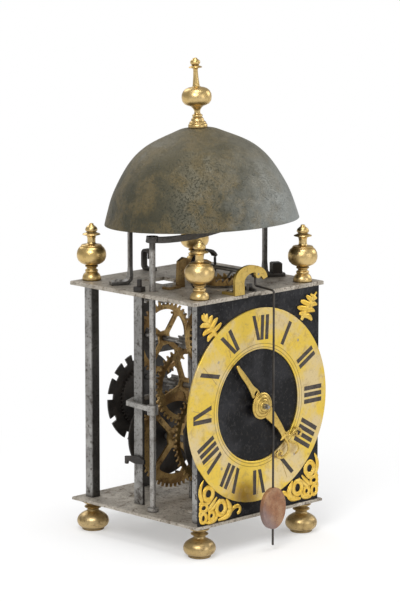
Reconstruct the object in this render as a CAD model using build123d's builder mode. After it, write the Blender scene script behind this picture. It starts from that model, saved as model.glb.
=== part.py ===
"""Lantern clock: open iron frame, two wheel trains, verge escapement with a front pendulum.

Millimetres. X runs to the right, Y to the back and Z up; the dial faces -Y. Heights are
counted from DECK, the upper face of the base plate. The frame is drawn about X = Y = 0 and
every piece is moved by FRAME_SHIFT when it is written, so that the origin lies on the floor
below the middle of the whole clock.
"""

import os
from math import atan2, cos, hypot, pi, radians, sin

from build123d import *

# ------------------------------------------------------------------ frame
BASE_WIDTH, BASE_DEPTH, BASE_THICKNESS = 148.0, 151.2, 2.4
TOP_WIDTH, TOP_DEPTH, TOP_THICKNESS = 152.0, 147.7, 3.2
PILLAR_HEIGHT, PILLAR_SIDE = 182.8, 9.0
PILLAR_INSET_X, PILLAR_INSET_Y = 15.7, 9.45
STUD_RADIUS, STUD_REACH = 3.0, 7.0
FOOT_HEIGHT, FOOT_RADIUS = 26.0, 13.6
FINIAL_HEIGHT, FINIAL_RADIUS = 46.0, 12.4
FRAME_SHIFT = (-0.3, 8.0, 0.0)
SEAT = 0.02      # radial room of a seated joint
RUNNING = 0.06   # radial room of a pivot in its hole
ROOM = 0.35      # end play, and room between pieces that pass each other

# ------------------------------------------------------------------ bell
BELL_RADIUS, BELL_HEIGHT, BELL_WALL = 81.3, 77.5, 2.4
BELL_CROWN_X, BELL_CROWN_Y, BELL_CROWN_UP = 1.9, 0.8, 314.3
BELL_LEAN_X, BELL_LEAN_Y = -0.0128, 0.0467   # sideways run of the bell's axis per mm of height
BELL_FLAT_RADIUS = 9.6
BELL_FINIAL_HEIGHT, BELL_FINIAL_RADIUS = 58.5, 12.6
BELL_STUD_RADIUS, BELL_STUD_REACH = 2.4, 6.0
STRAP_ANGLE = -26.8
STRAP_THICKNESS, STRAP_WIDTH = 3.0, 9.0
STRAP_SPREAD, STRAP_TOE = 59.0, 17.0
STRAP_SHOULDER, STRAP_ARCH, STRAP_BEND = 61.0, 113.0, 6.0
STRAP_BOSS_RADIUS = 9.0
STRAP_SCREW_AT = 69.0

# ------------------------------------------------------------------ bars and dial
CENTRE_X = -2.5
BAR_WIDTH, BAR_THICKNESS = 8.0, 3.0
FRONT_BAR_Y, MIDDLE_BAR_Y, REAR_BAR_Y = -64.0, 1.5, 60.0
TENON_WIDTH = 4.0
DIAL_WIDTH, DIAL_THICKNESS, DIAL_FRONT_Y = 141.0, 1.5, -73.5
RING_OUTER, RING_INNER, RING_THICKNESS = 81.15, 46.85, 1.5
DIAL_UP = 91.55
ORNAMENT_THICKNESS = 1.8
HAND_THICKNESS = 1.6
HAND_BOSS_RADIUS = 10.6

# ------------------------------------------------------------------ wheels
MODULE = 1.6
WHEEL_THICKNESS = 1.8
PIVOT_RADIUS, ARBOR_RADIUS = 1.3, 2.2
GREAT_PIVOT_RADIUS, GREAT_ARBOR_RADIUS = 1.9, 3.0
PINION_LENGTH = 8.0
GOING_GREAT_TEETH, GOING_SECOND_LEAVES = 54, 7
GOING_SECOND_TEETH, CONTRATE_LEAVES = 40, 6
CONTRATE_TEETH, CROWN_LEAVES = 38, 6
CROWN_TEETH, CROWN_RADIUS = 17, 14.5
HOUR_TEETH, HOUR_LEAVES = 54, 6
STRIKE_GREAT_TEETH, STRIKE_SECOND_LEAVES = 52, 7
STRIKE_SECOND_TEETH, STRIKE_THIRD_LEAVES = 40, 6
STRIKE_THIRD_TEETH, FLY_LEAVES = 38, 6
COUNT_TEETH, COUNT_LEAVES = 48, 8
GOING_GREAT_UP, STRIKE_GREAT_UP, COUNT_UP = 59.0, 48.5, 78.0
GOING_GREAT_Y, GOING_SECOND_Y, CONTRATE_Y = -20.0, -46.0, -20.0
STRIKE_GREAT_Y, STRIKE_SECOND_Y, STRIKE_THIRD_Y = 24.0, 13.0, 37.5
GOING_PULLEY_Y, GOING_PULLEY_RADIUS = -31.0, 38.0
STRIKE_PULLEY_Y, STRIKE_PULLEY_RADIUS = 40.0, 34.0
PULLEY_WIDTH = 12.0
CONTRATE_RADIUS = 29.0
HOUR_WHEEL_Y = -69.5
COUNT_GEAR_Y, COUNT_DISC_Y, COUNT_RADIUS = 63.2, 65.6, 39.0
NOTCH_WIDTH, NOTCH_DEPTH = 4.9, 6.0
PIN_COUNT, PIN_CIRCLE, PIN_RADIUS = 13, 34.0, 1.3
FLY_RADIUS = 13.0

# ------------------------------------------------------------------ escapement
VERGE_UP = 201.0
CROWN_Y = -31.0
CROWN_BASE_UP, CROWN_TIP_UP = 188.2, 194.4
PALLET_LENGTH, PALLET_WIDTH, PALLET_THICKNESS = 8.2, 2.6, 0.9
PALLET_ANGLE = 45.0
CROWN_PHASE = 12.75
VERGE_RADIUS = 1.7
REAR_COCK_Y, FRONT_COCK_Y = -13.0, -73.4
PENDULUM_Y, PENDULUM_BOTTOM = -92.0, -24.0
ROD_RADIUS = 0.9
BOB_UP, BOB_WIDTH, BOB_HEIGHT, BOB_THICKNESS = 7.3, 27.0, 35.0, 5.0

# ------------------------------------------------------------------ strike levers
HAMMER_X, HAMMER_Y, HAMMER_RADIUS = -61.0, -10.0, 2.6
HAMMER_TOP = 230.5
HAMMER_REACH, HAMMER_AIM = 74.0, -44.0
DETENT_X, DETENT_UP, DETENT_RADIUS = 35.0, 119.0, 2.0
STRIP_X, STRIP_Y, STRIP_THICKNESS, STRIP_WIDTH = -50.8, 17.0, 2.5, 10.0
TRIP_UP = 38.0

DECK = FOOT_HEIGHT + BASE_THICKNESS
ROOF_UNDER = DECK + PILLAR_HEIGHT
ROOF = ROOF_UNDER + TOP_THICKNESS
PILLAR_X = TOP_WIDTH / 2 - PILLAR_INSET_X
PILLAR_Y = TOP_DEPTH / 2 - PILLAR_INSET_Y
CORNERS = {
    "front_left": (-PILLAR_X, -PILLAR_Y),
    "front_right": (PILLAR_X, -PILLAR_Y),
    "back_left": (-PILLAR_X, PILLAR_Y),
    "back_right": (PILLAR_X, PILLAR_Y),
}


def mesh_distance(teeth, leaves, module=MODULE):
    """Distance between the arbors of a wheel and the pinion it drives."""
    return module * (teeth + leaves) / 2


GOING_SECOND_UP = GOING_GREAT_UP + mesh_distance(GOING_GREAT_TEETH, GOING_SECOND_LEAVES)
CONTRATE_UP = GOING_SECOND_UP + mesh_distance(GOING_SECOND_TEETH, CONTRATE_LEAVES)
STRIKE_SECOND_UP = STRIKE_GREAT_UP + mesh_distance(STRIKE_GREAT_TEETH, STRIKE_SECOND_LEAVES)
STRIKE_THIRD_UP = STRIKE_SECOND_UP + mesh_distance(STRIKE_SECOND_TEETH, STRIKE_THIRD_LEAVES)
FLY_UP = STRIKE_THIRD_UP + mesh_distance(STRIKE_THIRD_TEETH, FLY_LEAVES)
HOUR_MODULE = 2 * (DIAL_UP - GOING_GREAT_UP) / (HOUR_TEETH + HOUR_LEAVES)
COUNT_MODULE = 2 * (COUNT_UP - STRIKE_GREAT_UP) / (COUNT_TEETH + COUNT_LEAVES)

os.makedirs("parts", exist_ok=True)


def keep(piece, label):
    """Moves a finished piece into the clock's own frame, names it and writes it."""
    finished = piece.part.moved(Location(FRAME_SHIFT))
    finished.label = label
    export_step(finished, f"parts/{label}.step")


# ================================================================== shared shapes
def upright(x, y, z):
    """A plane whose local X is the model's X and whose local Y is up; it faces the front."""
    return Plane(origin=(x, y, z), x_dir=(1, 0, 0), z_dir=(0, -1, 0))


def wheel_plane(up, front_y, x=CENTRE_X):
    """The upright plane of a wheel's front face, centred on its arbor."""
    return upright(x, front_y, DECK + up)


def turned(plane, start_height, steps, end_height, bore=None):
    """A solid turned about the plane's local Y.

    A step is (radius, height) for a straight run, or (mid radius, mid height, radius,
    height) for an arc through the middle point. A bore is (radius, from height, length).
    """
    with BuildPart() as piece:
        with BuildSketch(plane):
            with BuildLine():
                here = (0, start_height)
                for step in [*steps, (0, end_height)]:
                    there = step[-2:]
                    if len(step) == 4:
                        ThreePointArc(here, step[:2], there)
                    else:
                        Line(here, there)
                    here = there
                Line(here, (0, start_height))
            make_face()
        revolve(axis=Axis(plane.origin, plane.y_dir))
        if bore:
            radius, start, length = bore
            foot_point = plane.origin + plane.y_dir * start
            with BuildSketch(Plane(origin=foot_point, x_dir=plane.x_dir, z_dir=plane.y_dir)):
                Circle(radius)
            extrude(amount=length, mode=Mode.SUBTRACT)
    return piece


def rod(plane, stretches):
    """A stepped round rod along the plane's local Z from its origin: (radius, length) each."""
    with BuildPart() as piece:
        reached = 0.0
        for radius, length in stretches:
            with BuildSketch(plane.offset(reached)):
                Circle(radius)
            extrude(amount=length)
            reached += length
    return piece


def tooth_outline(teeth, module, leaf=False, turn=0.0, pitch_radius=None):
    """Corner points of a toothed outline; turn is the direction of one tooth's middle."""
    pitch_radius = pitch_radius or module * teeth / 2
    addendum, dedendum, tip, root = (0.7, 1.2, 0.09, 0.19) if leaf else (0.85, 1.1, 0.10, 0.24)
    pitch = 2 * pi / teeth
    corners = (
        (pitch_radius - dedendum * module, -root),
        (pitch_radius + addendum * module, -tip),
        (pitch_radius + addendum * module, tip),
        (pitch_radius - dedendum * module, root),
    )
    return [
        (radius * cos(angle), radius * sin(angle))
        for tooth in range(teeth)
        for radius, share in corners
        for angle in [radians(turn) + (tooth + share) * pitch]
    ]


def crossings(inner, outer, arms, arm_width, turn=0.0, soften=2.5):
    """The windows between a wheel's arms, as a sketch on the current plane."""
    with BuildSketch() as windows:
        Circle(outer)
        Circle(inner, mode=Mode.SUBTRACT)
        with PolarLocations(0, arms, start_angle=turn):
            with Locations((outer / 2, 0)):
                Rectangle(outer + 1, arm_width, mode=Mode.SUBTRACT)
        fillet(windows.vertices(), soften)
    return windows.sketch


def wheel(up, middle_y, teeth, module, seat, arms=4, turn=90.0, arm_turn=45.0, **more):
    """A crossed wheel on its arbor; one tooth points in the direction turn."""
    thickness = more.get("thickness", WHEEL_THICKNESS)
    hub = seat + more.get("hub", 4.0)
    rim = module * teeth / 2 - 1.1 * module - more.get("rim", 4.0)
    plane = wheel_plane(up, middle_y + thickness / 2)
    with BuildPart() as piece:
        with BuildSketch(plane):
            with BuildLine():
                Polyline(*tooth_outline(teeth, module, turn=turn), close=True)
            make_face()
            Circle(seat + SEAT, mode=Mode.SUBTRACT)
        extrude(amount=thickness)
        with BuildSketch(plane):
            add(crossings(hub, rim, arms, more.get("arm_width", 5.0), arm_turn))
        extrude(amount=thickness, mode=Mode.SUBTRACT)
    return piece


def pinion_on(plane, leaves, module, turn, length):
    """Adds a pinion's leaves to the part being built, from the plane along its normal."""
    with BuildSketch(plane) as outline:
        with BuildLine():
            Polyline(*tooth_outline(leaves, module, leaf=True, turn=turn), close=True)
        make_face()
    extrude(outline.sketch, amount=length)


def arbor(up, front_y, back_y, body, pivot, pivot_front, pivot_back, pinions):
    """An arbor along Y with a pivot at each end and its pinions.

    pinions holds (middle y, leaves, module, turn, length) for each.
    """
    with BuildPart() as piece:
        with BuildSketch(wheel_plane(up, back_y + pivot_back)):
            Circle(pivot)
        extrude(amount=pivot_back + back_y - front_y + pivot_front)
        with BuildSketch(wheel_plane(up, back_y)):
            Circle(body)
        extrude(amount=back_y - front_y)
        for middle_y, leaves, module, turn, length in pinions:
            pinion_on(wheel_plane(up, middle_y + length / 2), leaves, module, turn, length)
    return piece


# ================================================================== plates and pillars
BARS = {"front_bar": FRONT_BAR_Y, "middle_bar": MIDDLE_BAR_Y, "rear_bar": REAR_BAR_Y}
ROPE_HOLES = [
    (CENTRE_X + side * (radius - 2.5), y)
    for radius, y in (
        (GOING_PULLEY_RADIUS, GOING_PULLEY_Y),
        (STRIKE_PULLEY_RADIUS, STRIKE_PULLEY_Y),
    )
    for side in (-1, 1)
]
ROPE_HOLE_RADIUS = 5.0
SCREW_RADIUS = 1.6


def along_strap(distance):
    """The point on the top plate at a distance along the strap from the bell's axis."""
    turn = radians(STRAP_ANGLE)
    return (BELL_CROWN_X + distance * cos(turn), BELL_CROWN_Y + distance * sin(turn))


STRAP_SCREW = along_strap(-STRAP_SCREW_AT)
STRAP_BOLT = along_strap(STRAP_SCREW_AT)
REAR_COCK_SCREW = (-45.0, REAR_COCK_Y)
FRONT_COCK_SCREW = (-24.1, -64.0)
LONE_STUD = (-70.0, -4.0)
LONE_STUD_RADIUS = 2.0
STAPLE_CENTRE, STAPLE_SPAN, STAPLE_HEIGHT, STAPLE_BAR = (48.0, 27.0), 15.0, 12.0, 2.0
STAPLE_ANGLE = 44.0
HOOK_X, HOOK_Y = 7.5, 71.0
SPRING_SCREW = (-26.0, -30.0)
POTENCE_Y = -40.0
TOP_WINDOW = (-19.0, 21.0, 26.0, 26.0)


def tenon_hole():
    """Adds the slots for the bars' tenons to the sketch."""
    with Locations(*[(CENTRE_X, y) for y in BARS.values()]):
        Rectangle(TENON_WIDTH + 2 * SEAT, BAR_THICKNESS + 2 * SEAT, mode=Mode.SUBTRACT)
    with Locations((STRIP_X, STRIP_Y)):
        Rectangle(STRIP_THICKNESS + 2 * SEAT, TENON_WIDTH + 2 * SEAT, mode=Mode.SUBTRACT)
    with Locations(*CORNERS.values()):
        Circle(STUD_RADIUS + SEAT, mode=Mode.SUBTRACT)
    with Locations((HAMMER_X, HAMMER_Y)):
        Circle(HAMMER_RADIUS + RUNNING, mode=Mode.SUBTRACT)


with BuildPart() as base_plate:
    with BuildSketch(Plane.XY.offset(FOOT_HEIGHT)):
        Rectangle(BASE_WIDTH, BASE_DEPTH)
        tenon_hole()
        with Locations(*ROPE_HOLES):
            Circle(ROPE_HOLE_RADIUS, mode=Mode.SUBTRACT)
    extrude(amount=BASE_THICKNESS)
    chamfer(base_plate.faces().sort_by(Axis.Z)[-1].outer_wire().edges(), 0.5)
keep(base_plate, "base_plate")

with BuildPart() as top_plate:
    with BuildSketch(Plane.XY.offset(ROOF_UNDER)):
        Rectangle(TOP_WIDTH, TOP_DEPTH)
        tenon_hole()
        with Locations(TOP_WINDOW[:2]):
            Rectangle(*TOP_WINDOW[2:], mode=Mode.SUBTRACT)
        with Locations((CENTRE_X, CROWN_Y)):
            Circle(PIVOT_RADIUS + RUNNING, mode=Mode.SUBTRACT)
        with Locations((-6, -TOP_DEPTH / 2)):
            SlotOverall(16, 3.6, mode=Mode.SUBTRACT)
        with Locations(STRAP_SCREW, STRAP_BOLT, REAR_COCK_SCREW, FRONT_COCK_SCREW, SPRING_SCREW):
            Circle(SCREW_RADIUS + SEAT, mode=Mode.SUBTRACT)
        with Locations((CENTRE_X, POTENCE_Y)):
            Circle(SCREW_RADIUS + SEAT, mode=Mode.SUBTRACT)
        with Locations(LONE_STUD, (HOOK_X, HOOK_Y - 8)):
            Circle(LONE_STUD_RADIUS + SEAT, mode=Mode.SUBTRACT)
        with Locations(Location((*STAPLE_CENTRE, 0), (0, 0, STAPLE_ANGLE))):
            with GridLocations(STAPLE_SPAN - STAPLE_BAR, 1, 2, 1):
                Rectangle(STAPLE_BAR + 2 * SEAT, STAPLE_BAR + 2 * SEAT, mode=Mode.SUBTRACT)
    extrude(amount=TOP_THICKNESS)
    chamfer(top_plate.faces().sort_by(Axis.Z)[-1].outer_wire().edges(), 0.5)
keep(top_plate, "top_plate")

for corner, (x, y) in CORNERS.items():
    with BuildPart() as pillar:
        with BuildSketch(Plane.XY.offset(DECK)):
            with Locations((x, y)):
                Rectangle(PILLAR_SIDE, PILLAR_SIDE)
        extrude(amount=PILLAR_HEIGHT)
        chamfer(pillar.edges().filter_by(Axis.Z), 0.6)
        with BuildSketch(Plane.XY.offset(FOOT_HEIGHT - STUD_REACH)):
            with Locations((x, y)):
                Circle(STUD_RADIUS)
        extrude(amount=PILLAR_HEIGHT + BASE_THICKNESS + TOP_THICKNESS + 2 * STUD_REACH)
    keep(pillar, f"pillar_{corner}")

    foot = turned(upright(x, y, 0), 0, [
        (9.0, 0),
        (9.3, 1.2),
        (8.6, 2.4),
        (9.6, 2.6),
        (FOOT_RADIUS, 8.6, 6.0, 15.6),
        (4.6, 16.4),
        (5.4, 19.0, 4.6, 21.4),
        (5.2, 21.8),
        (5.2, 24.2),
        (6.6, 24.6),
        (6.6, FOOT_HEIGHT),
    ], FOOT_HEIGHT, (STUD_RADIUS + SEAT, FOOT_HEIGHT - STUD_REACH - ROOM, STUD_REACH + ROOM))
    keep(foot, f"foot_{corner}")

    finial = turned(upright(x, y, ROOF), 0, [
        (8.2, 0),
        (8.2, 1.4),
        (5.6, 3.0, 5.2, 5.5),
        (5.6, 6.6),
        (5.6, 7.8),
        (3.9, 9.0),
        (5.0, 10.8),
        (FINIAL_RADIUS, 19.5, 7.5, 28.0),
        (3.4, 29.2),
        (2.9, 32.5, 3.6, 36.0),
        (6.7, 36.6),
        (6.7, 37.8),
        (3.2, 38.8),
        (4.6, 41.3, 1.2, 45.2),
    ], FINIAL_HEIGHT, (STUD_RADIUS + SEAT, 0, STUD_REACH + ROOM))
    keep(finial, f"finial_{corner}")


# ================================================================== bell
BELL_AXIS = Vector(BELL_LEAN_X, BELL_LEAN_Y, 1).normalized()
BELL_ACROSS = Vector(1, 0, -BELL_LEAN_X).normalized()
BELL_PLANE = Plane(
    origin=(BELL_CROWN_X, BELL_CROWN_Y, DECK + BELL_CROWN_UP),
    x_dir=BELL_ACROSS,
    z_dir=BELL_ACROSS.cross(BELL_AXIS),
)
BELL_SHAPE = (
    (0.235, 0.032),
    (0.402, 0.105),
    (0.525, 0.170),
    (0.614, 0.236),
    (0.732, 0.368),
    (0.814, 0.501),
    (0.882, 0.632),
    (0.934, 0.764),
    (0.968, 0.880),
    (1.0, 1.0),
)


def bell_line(inset):
    """Radius and depth points of the bell's curved side, moved inward by the inset."""
    points = [(BELL_FLAT_RADIUS, 0.0)]
    points += [(BELL_RADIUS * radius, BELL_HEIGHT * depth) for radius, depth in BELL_SHAPE]
    moved = []
    for index, (radius, depth) in enumerate(points):
        before = points[max(index - 1, 0)]
        after = points[min(index + 1, len(points) - 1)]
        run, drop = after[0] - before[0], after[1] - before[1]
        if index == 0:
            run, drop = 1.0, 0.0
        length = hypot(run, drop)
        moved.append((radius - inset * drop / length, -depth - inset * run / length))
    moved[-1] = (moved[-1][0], -BELL_HEIGHT)
    return moved


with BuildPart() as bell:
    with BuildSketch(BELL_PLANE):
        outside, inside = bell_line(0.0), bell_line(BELL_WALL)
        hole = BELL_STUD_RADIUS + SEAT
        with BuildLine():
            Line((hole, 0), outside[0])
            Spline(*outside, tangents=[(1, 0), (0.25, -1)])
            Line(outside[-1], inside[-1])
            Spline(*reversed(inside), tangents=[(-0.25, 1), (-1, 0)])
            Line(inside[0], (hole, -BELL_WALL))
            Line((hole, -BELL_WALL), (hole, 0))
        make_face()
    revolve(axis=Axis(BELL_PLANE.origin, BELL_AXIS))
keep(bell, "bell")

bell_finial = turned(BELL_PLANE, 0, [
    (8.1, 0),
    (8.1, 1.5),
    (5.0, 3.4, 4.4, 6.6),
    (4.8, 7.0),
    (4.8, 8.4),
    (2.7, 9.4),
    (2.3, 13.0, 2.6, 17.0),
    (5.2, 17.8),
    (BELL_FINIAL_RADIUS, 25.6, 5.2, 33.4),
    (2.4, 34.2),
    (2.1, 42.0, 3.0, 49.4),
    (6.5, 50.0),
    (6.5, 52.2),
    (2.6, 53.0),
    (4.2, 55.2, 1.2, 57.8),
], BELL_FINIAL_HEIGHT, (BELL_STUD_RADIUS + SEAT, 0, BELL_STUD_REACH + ROOM))
keep(bell_finial, "bell_finial")

STRAP_PLANE = Plane(
    origin=(BELL_CROWN_X, BELL_CROWN_Y, ROOF),
    x_dir=(cos(radians(STRAP_ANGLE)), sin(radians(STRAP_ANGLE)), 0),
    z_dir=(sin(radians(STRAP_ANGLE)), -cos(radians(STRAP_ANGLE)), 0),
)
BELL_UNDERSIDE = Plane(
    origin=Vector(*BELL_PLANE.origin) - BELL_AXIS * BELL_WALL, x_dir=BELL_ACROSS, z_dir=BELL_AXIS
)
with BuildPart() as bell_strap:
    with BuildSketch(STRAP_PLANE.offset(-STRAP_WIDTH / 2)):
        half = STRAP_THICKNESS / 2
        with BuildLine():
            FilletPolyline(
                (-STRAP_SPREAD - STRAP_TOE, half),
                (-STRAP_SPREAD, half),
                (-STRAP_SPREAD, STRAP_SHOULDER),
                (-STRAP_BOSS_RADIUS - 5, STRAP_ARCH),
                (STRAP_BOSS_RADIUS + 5, STRAP_ARCH),
                (STRAP_SPREAD, STRAP_SHOULDER),
                (STRAP_SPREAD, half),
                (STRAP_SPREAD + STRAP_TOE, half),
                radius=STRAP_BEND,
            )
        trace(line_width=STRAP_THICKNESS)
    extrude(amount=STRAP_WIDTH)
    with BuildSketch(BELL_UNDERSIDE):
        Circle(STRAP_BOSS_RADIUS)
    extrude(amount=-(BELL_CROWN_UP - PILLAR_HEIGHT - TOP_THICKNESS - BELL_WALL - STRAP_ARCH))
    with BuildSketch(BELL_UNDERSIDE):
        Circle(BELL_STUD_RADIUS)
    extrude(amount=BELL_WALL + BELL_STUD_REACH)
    with BuildSketch(Plane.XY.offset(ROOF)):
        with Locations(STRAP_SCREW, STRAP_BOLT):
            Circle(SCREW_RADIUS + SEAT)
    extrude(amount=STRAP_THICKNESS + 1, mode=Mode.SUBTRACT)
keep(bell_strap, "bell_strap")


# ================================================================== screws, nuts and wedge
def screw_at(x, y, seat, reach, head_radius=3.0, head=1.6):
    """A low slotted screw whose head sits at the height seat."""
    with BuildPart() as screw:
        with BuildSketch(Plane.XY.offset(seat)):
            with Locations((x, y)):
                Circle(head_radius)
        extrude(amount=head)
        chamfer(screw.faces().sort_by(Axis.Z)[-1].edges(), 0.4)
        with BuildSketch(Plane.XY.offset(seat + head)):
            with Locations((x, y)):
                Rectangle(2 * head_radius, 0.7)
        extrude(amount=-0.8, mode=Mode.SUBTRACT)
        with BuildSketch(Plane.XY.offset(seat)):
            with Locations((x, y)):
                Circle(SCREW_RADIUS)
        extrude(amount=-reach)
    return screw


FOOT_TAB = 2.2
with BuildPart() as screws:
    for place, tab in (
        (STRAP_SCREW, STRAP_THICKNESS),
        (REAR_COCK_SCREW, FOOT_TAB),
        (FRONT_COCK_SCREW, FOOT_TAB),
        (SPRING_SCREW, FOOT_TAB),
        ((CENTRE_X, POTENCE_Y), 0),
    ):
        add(screw_at(*place, ROOF + tab, TOP_THICKNESS + tab).part)
keep(screws, "screws")

with BuildPart() as square_nuts:
    with BuildSketch(Plane.XY.offset(ROOF + STRAP_THICKNESS)):
        with Locations(Location((*STRAP_BOLT, 0), (0, 0, STRAP_ANGLE))):
            Rectangle(8.5, 8.5)
    extrude(amount=9.0)
    chamfer(square_nuts.faces().sort_by(Axis.Z)[-1].edges(), 0.9)
    with BuildSketch(Plane.XY.offset(ROOF_UNDER)):
        with Locations(STRAP_BOLT):
            Circle(SCREW_RADIUS)
    extrude(amount=TOP_THICKNESS + STRAP_THICKNESS)
    with BuildSketch(Plane.XY.offset(ROOF)):
        with Locations(Location((*LONE_STUD, 0), (0, 0, 12))):
            Rectangle(7, 7)
    extrude(amount=4.0)
    with BuildSketch(Plane.XY.offset(ROOF_UNDER)):
        with Locations(LONE_STUD):
            Circle(LONE_STUD_RADIUS)
    extrude(amount=TOP_THICKNESS + 10.0)
keep(square_nuts, "square_nuts")


# ================================================================== bars
ARM_REACH, ARM_HEIGHT = 41.5, 8.0
WEDGE_WIDTH, WEDGE_HEIGHT, WEDGE_LENGTH = 1.8, 3.0, 15.0
FRONT_TENON_RISE = 6.0
COUNT_STUD_RADIUS = 3.0
COUNT_STUD_END = 68.5
HOUR_PIVOT_RADIUS, HOUR_ARBOR_RADIUS = 2.0, 3.0
BAR_HOLES = {
    "front_bar": [
        (GOING_GREAT_UP, GREAT_PIVOT_RADIUS),
        (DIAL_UP, HOUR_PIVOT_RADIUS),
        (GOING_SECOND_UP, PIVOT_RADIUS),
        (CONTRATE_UP, PIVOT_RADIUS),
    ],
    "middle_bar": [
        (GOING_GREAT_UP, GREAT_PIVOT_RADIUS),
        (GOING_SECOND_UP, PIVOT_RADIUS),
        (CONTRATE_UP, PIVOT_RADIUS),
        (STRIKE_GREAT_UP, GREAT_PIVOT_RADIUS),
        (STRIKE_SECOND_UP, PIVOT_RADIUS),
        (STRIKE_THIRD_UP, PIVOT_RADIUS),
        (FLY_UP, PIVOT_RADIUS),
    ],
    "rear_bar": [
        (STRIKE_GREAT_UP, GREAT_PIVOT_RADIUS),
        (STRIKE_SECOND_UP, PIVOT_RADIUS),
        (STRIKE_THIRD_UP, PIVOT_RADIUS),
        (FLY_UP, PIVOT_RADIUS),
    ],
}

for label, middle_y in BARS.items():
    front = middle_y - BAR_THICKNESS / 2
    back = middle_y + BAR_THICKNESS / 2
    rise = FRONT_TENON_RISE if label == "front_bar" else 0.0
    with BuildPart() as bar:
        with BuildSketch(upright(CENTRE_X, back, DECK)):
            with Locations((0, PILLAR_HEIGHT / 2)):
                Rectangle(BAR_WIDTH, PILLAR_HEIGHT)
            if label != "middle_bar":
                with Locations((ARM_REACH / 2, DETENT_UP)):
                    Rectangle(ARM_REACH, ARM_HEIGHT)
        extrude(amount=BAR_THICKNESS)
        if label != "middle_bar":
            arm_end = bar.edges().filter_by(Axis.Y).sort_by(Axis.X)[-2:]
            fillet(arm_end, ARM_HEIGHT / 2 - 0.5)
        with BuildSketch(upright(CENTRE_X, back, FOOT_HEIGHT)):
            with Locations((0, (BASE_THICKNESS + PILLAR_HEIGHT + TOP_THICKNESS + rise) / 2)):
                Rectangle(TENON_WIDTH, BASE_THICKNESS + PILLAR_HEIGHT + TOP_THICKNESS + rise)
        extrude(amount=BAR_THICKNESS)
        with BuildSketch(upright(CENTRE_X, back, DECK)):
            for up, radius in BAR_HOLES[label]:
                with Locations((0, up)):
                    Circle(radius + RUNNING)
            if label != "middle_bar":
                with Locations((DETENT_X - CENTRE_X, DETENT_UP)):
                    Circle(DETENT_RADIUS + RUNNING)
        extrude(amount=BAR_THICKNESS, mode=Mode.SUBTRACT)
        if label == "front_bar":
            with BuildSketch(upright(CENTRE_X, back, ROOF)):
                with Locations((0, WEDGE_HEIGHT / 2)):
                    Rectangle(WEDGE_WIDTH + 2 * SEAT, WEDGE_HEIGHT + 2 * SEAT)
            extrude(amount=BAR_THICKNESS, mode=Mode.SUBTRACT)
        if label == "rear_bar":
            with BuildSketch(wheel_plane(COUNT_UP, back)):
                Circle(COUNT_STUD_RADIUS)
            extrude(amount=-(COUNT_STUD_END - back))
            with BuildSketch(wheel_plane(COUNT_UP, COUNT_STUD_END)):
                Circle(COUNT_STUD_RADIUS + 1.4)
            extrude(amount=-1.2)
    keep(bar, label)

with BuildPart() as bar_wedge:
    with BuildSketch(Plane(
        origin=(CENTRE_X - WEDGE_WIDTH / 2, FRONT_BAR_Y, ROOF), x_dir=(0, 1, 0), z_dir=(1, 0, 0)
    )):
        with BuildLine():
            Polyline(
                (-WEDGE_LENGTH / 2, 0),
                (WEDGE_LENGTH / 2, 0),
                (WEDGE_LENGTH / 2, WEDGE_HEIGHT),
                (-BAR_THICKNESS / 2, WEDGE_HEIGHT),
                (-WEDGE_LENGTH / 2, WEDGE_HEIGHT * 0.6),
                close=True,
            )
        make_face()
    extrude(amount=WEDGE_WIDTH)
keep(bar_wedge, "bar_wedge")

with BuildPart() as side_strip:
    with BuildSketch(Plane.XY.offset(DECK)):
        with Locations((STRIP_X, STRIP_Y)):
            Rectangle(STRIP_THICKNESS, STRIP_WIDTH)
    extrude(amount=PILLAR_HEIGHT)
    with BuildSketch(Plane.XY.offset(FOOT_HEIGHT)):
        with Locations((STRIP_X, STRIP_Y)):
            Rectangle(STRIP_THICKNESS, TENON_WIDTH)
    extrude(amount=BASE_THICKNESS + PILLAR_HEIGHT + TOP_THICKNESS)
    with BuildSketch(Plane(origin=(STRIP_X, STRIP_Y, DECK + TRIP_UP), z_dir=(1, 0, 0))):
        Circle(PIVOT_RADIUS + RUNNING)
    extrude(amount=STRIP_THICKNESS, both=True, mode=Mode.SUBTRACT)
keep(side_strip, "side_strip")


# ================================================================== dial
with BuildPart() as dial_plate:
    with BuildSketch(upright(0, DIAL_FRONT_Y + DIAL_THICKNESS, DECK)):
        with Locations((0, PILLAR_HEIGHT / 2)):
            Rectangle(DIAL_WIDTH, PILLAR_HEIGHT)
        with Locations((CENTRE_X, DIAL_UP)):
            Circle(HOUR_ARBOR_RADIUS + RUNNING, mode=Mode.SUBTRACT)
    extrude(amount=DIAL_THICKNESS)
keep(dial_plate, "dial_plate")

with BuildPart() as chapter_ring:
    with BuildSketch(wheel_plane(DIAL_UP, DIAL_FRONT_Y)):
        Circle(RING_OUTER)
        Circle(RING_INNER, mode=Mode.SUBTRACT)
    extrude(amount=RING_THICKNESS)
    chamfer(chapter_ring.faces().sort_by(Axis.Y)[0].edges(), 0.4)
keep(chapter_ring, "chapter_ring")


def oak_leaf(base, tip, width):
    """Adds a lobed leaf between two points, given as x and height on the dial, to the sketch."""
    run, rise = tip[0] - base[0], tip[1] - base[1]
    length = hypot(run, rise)
    along, across = (run / length, rise / length), (-rise / length, run / length)
    steps = 30
    outline = []
    for side, lag in ((1, 0.0), (-1, 1.4)):
        half = []
        for step in range(1, steps):
            share = step / steps
            swell = sin(pi * share ** 0.8) ** 0.7 * (0.64 + 0.36 * cos(20 * share + lag))
            reach = side * (0.7 + width / 2 * swell)
            half.append((
                base[0] + along[0] * length * share + across[0] * reach,
                base[1] + along[1] * length * share + across[1] * reach,
            ))
        outline += half if side > 0 else half[::-1]
    with BuildLine() as edge:
        Polyline(*outline, close=True)
    make_face(edge.edges())


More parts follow.
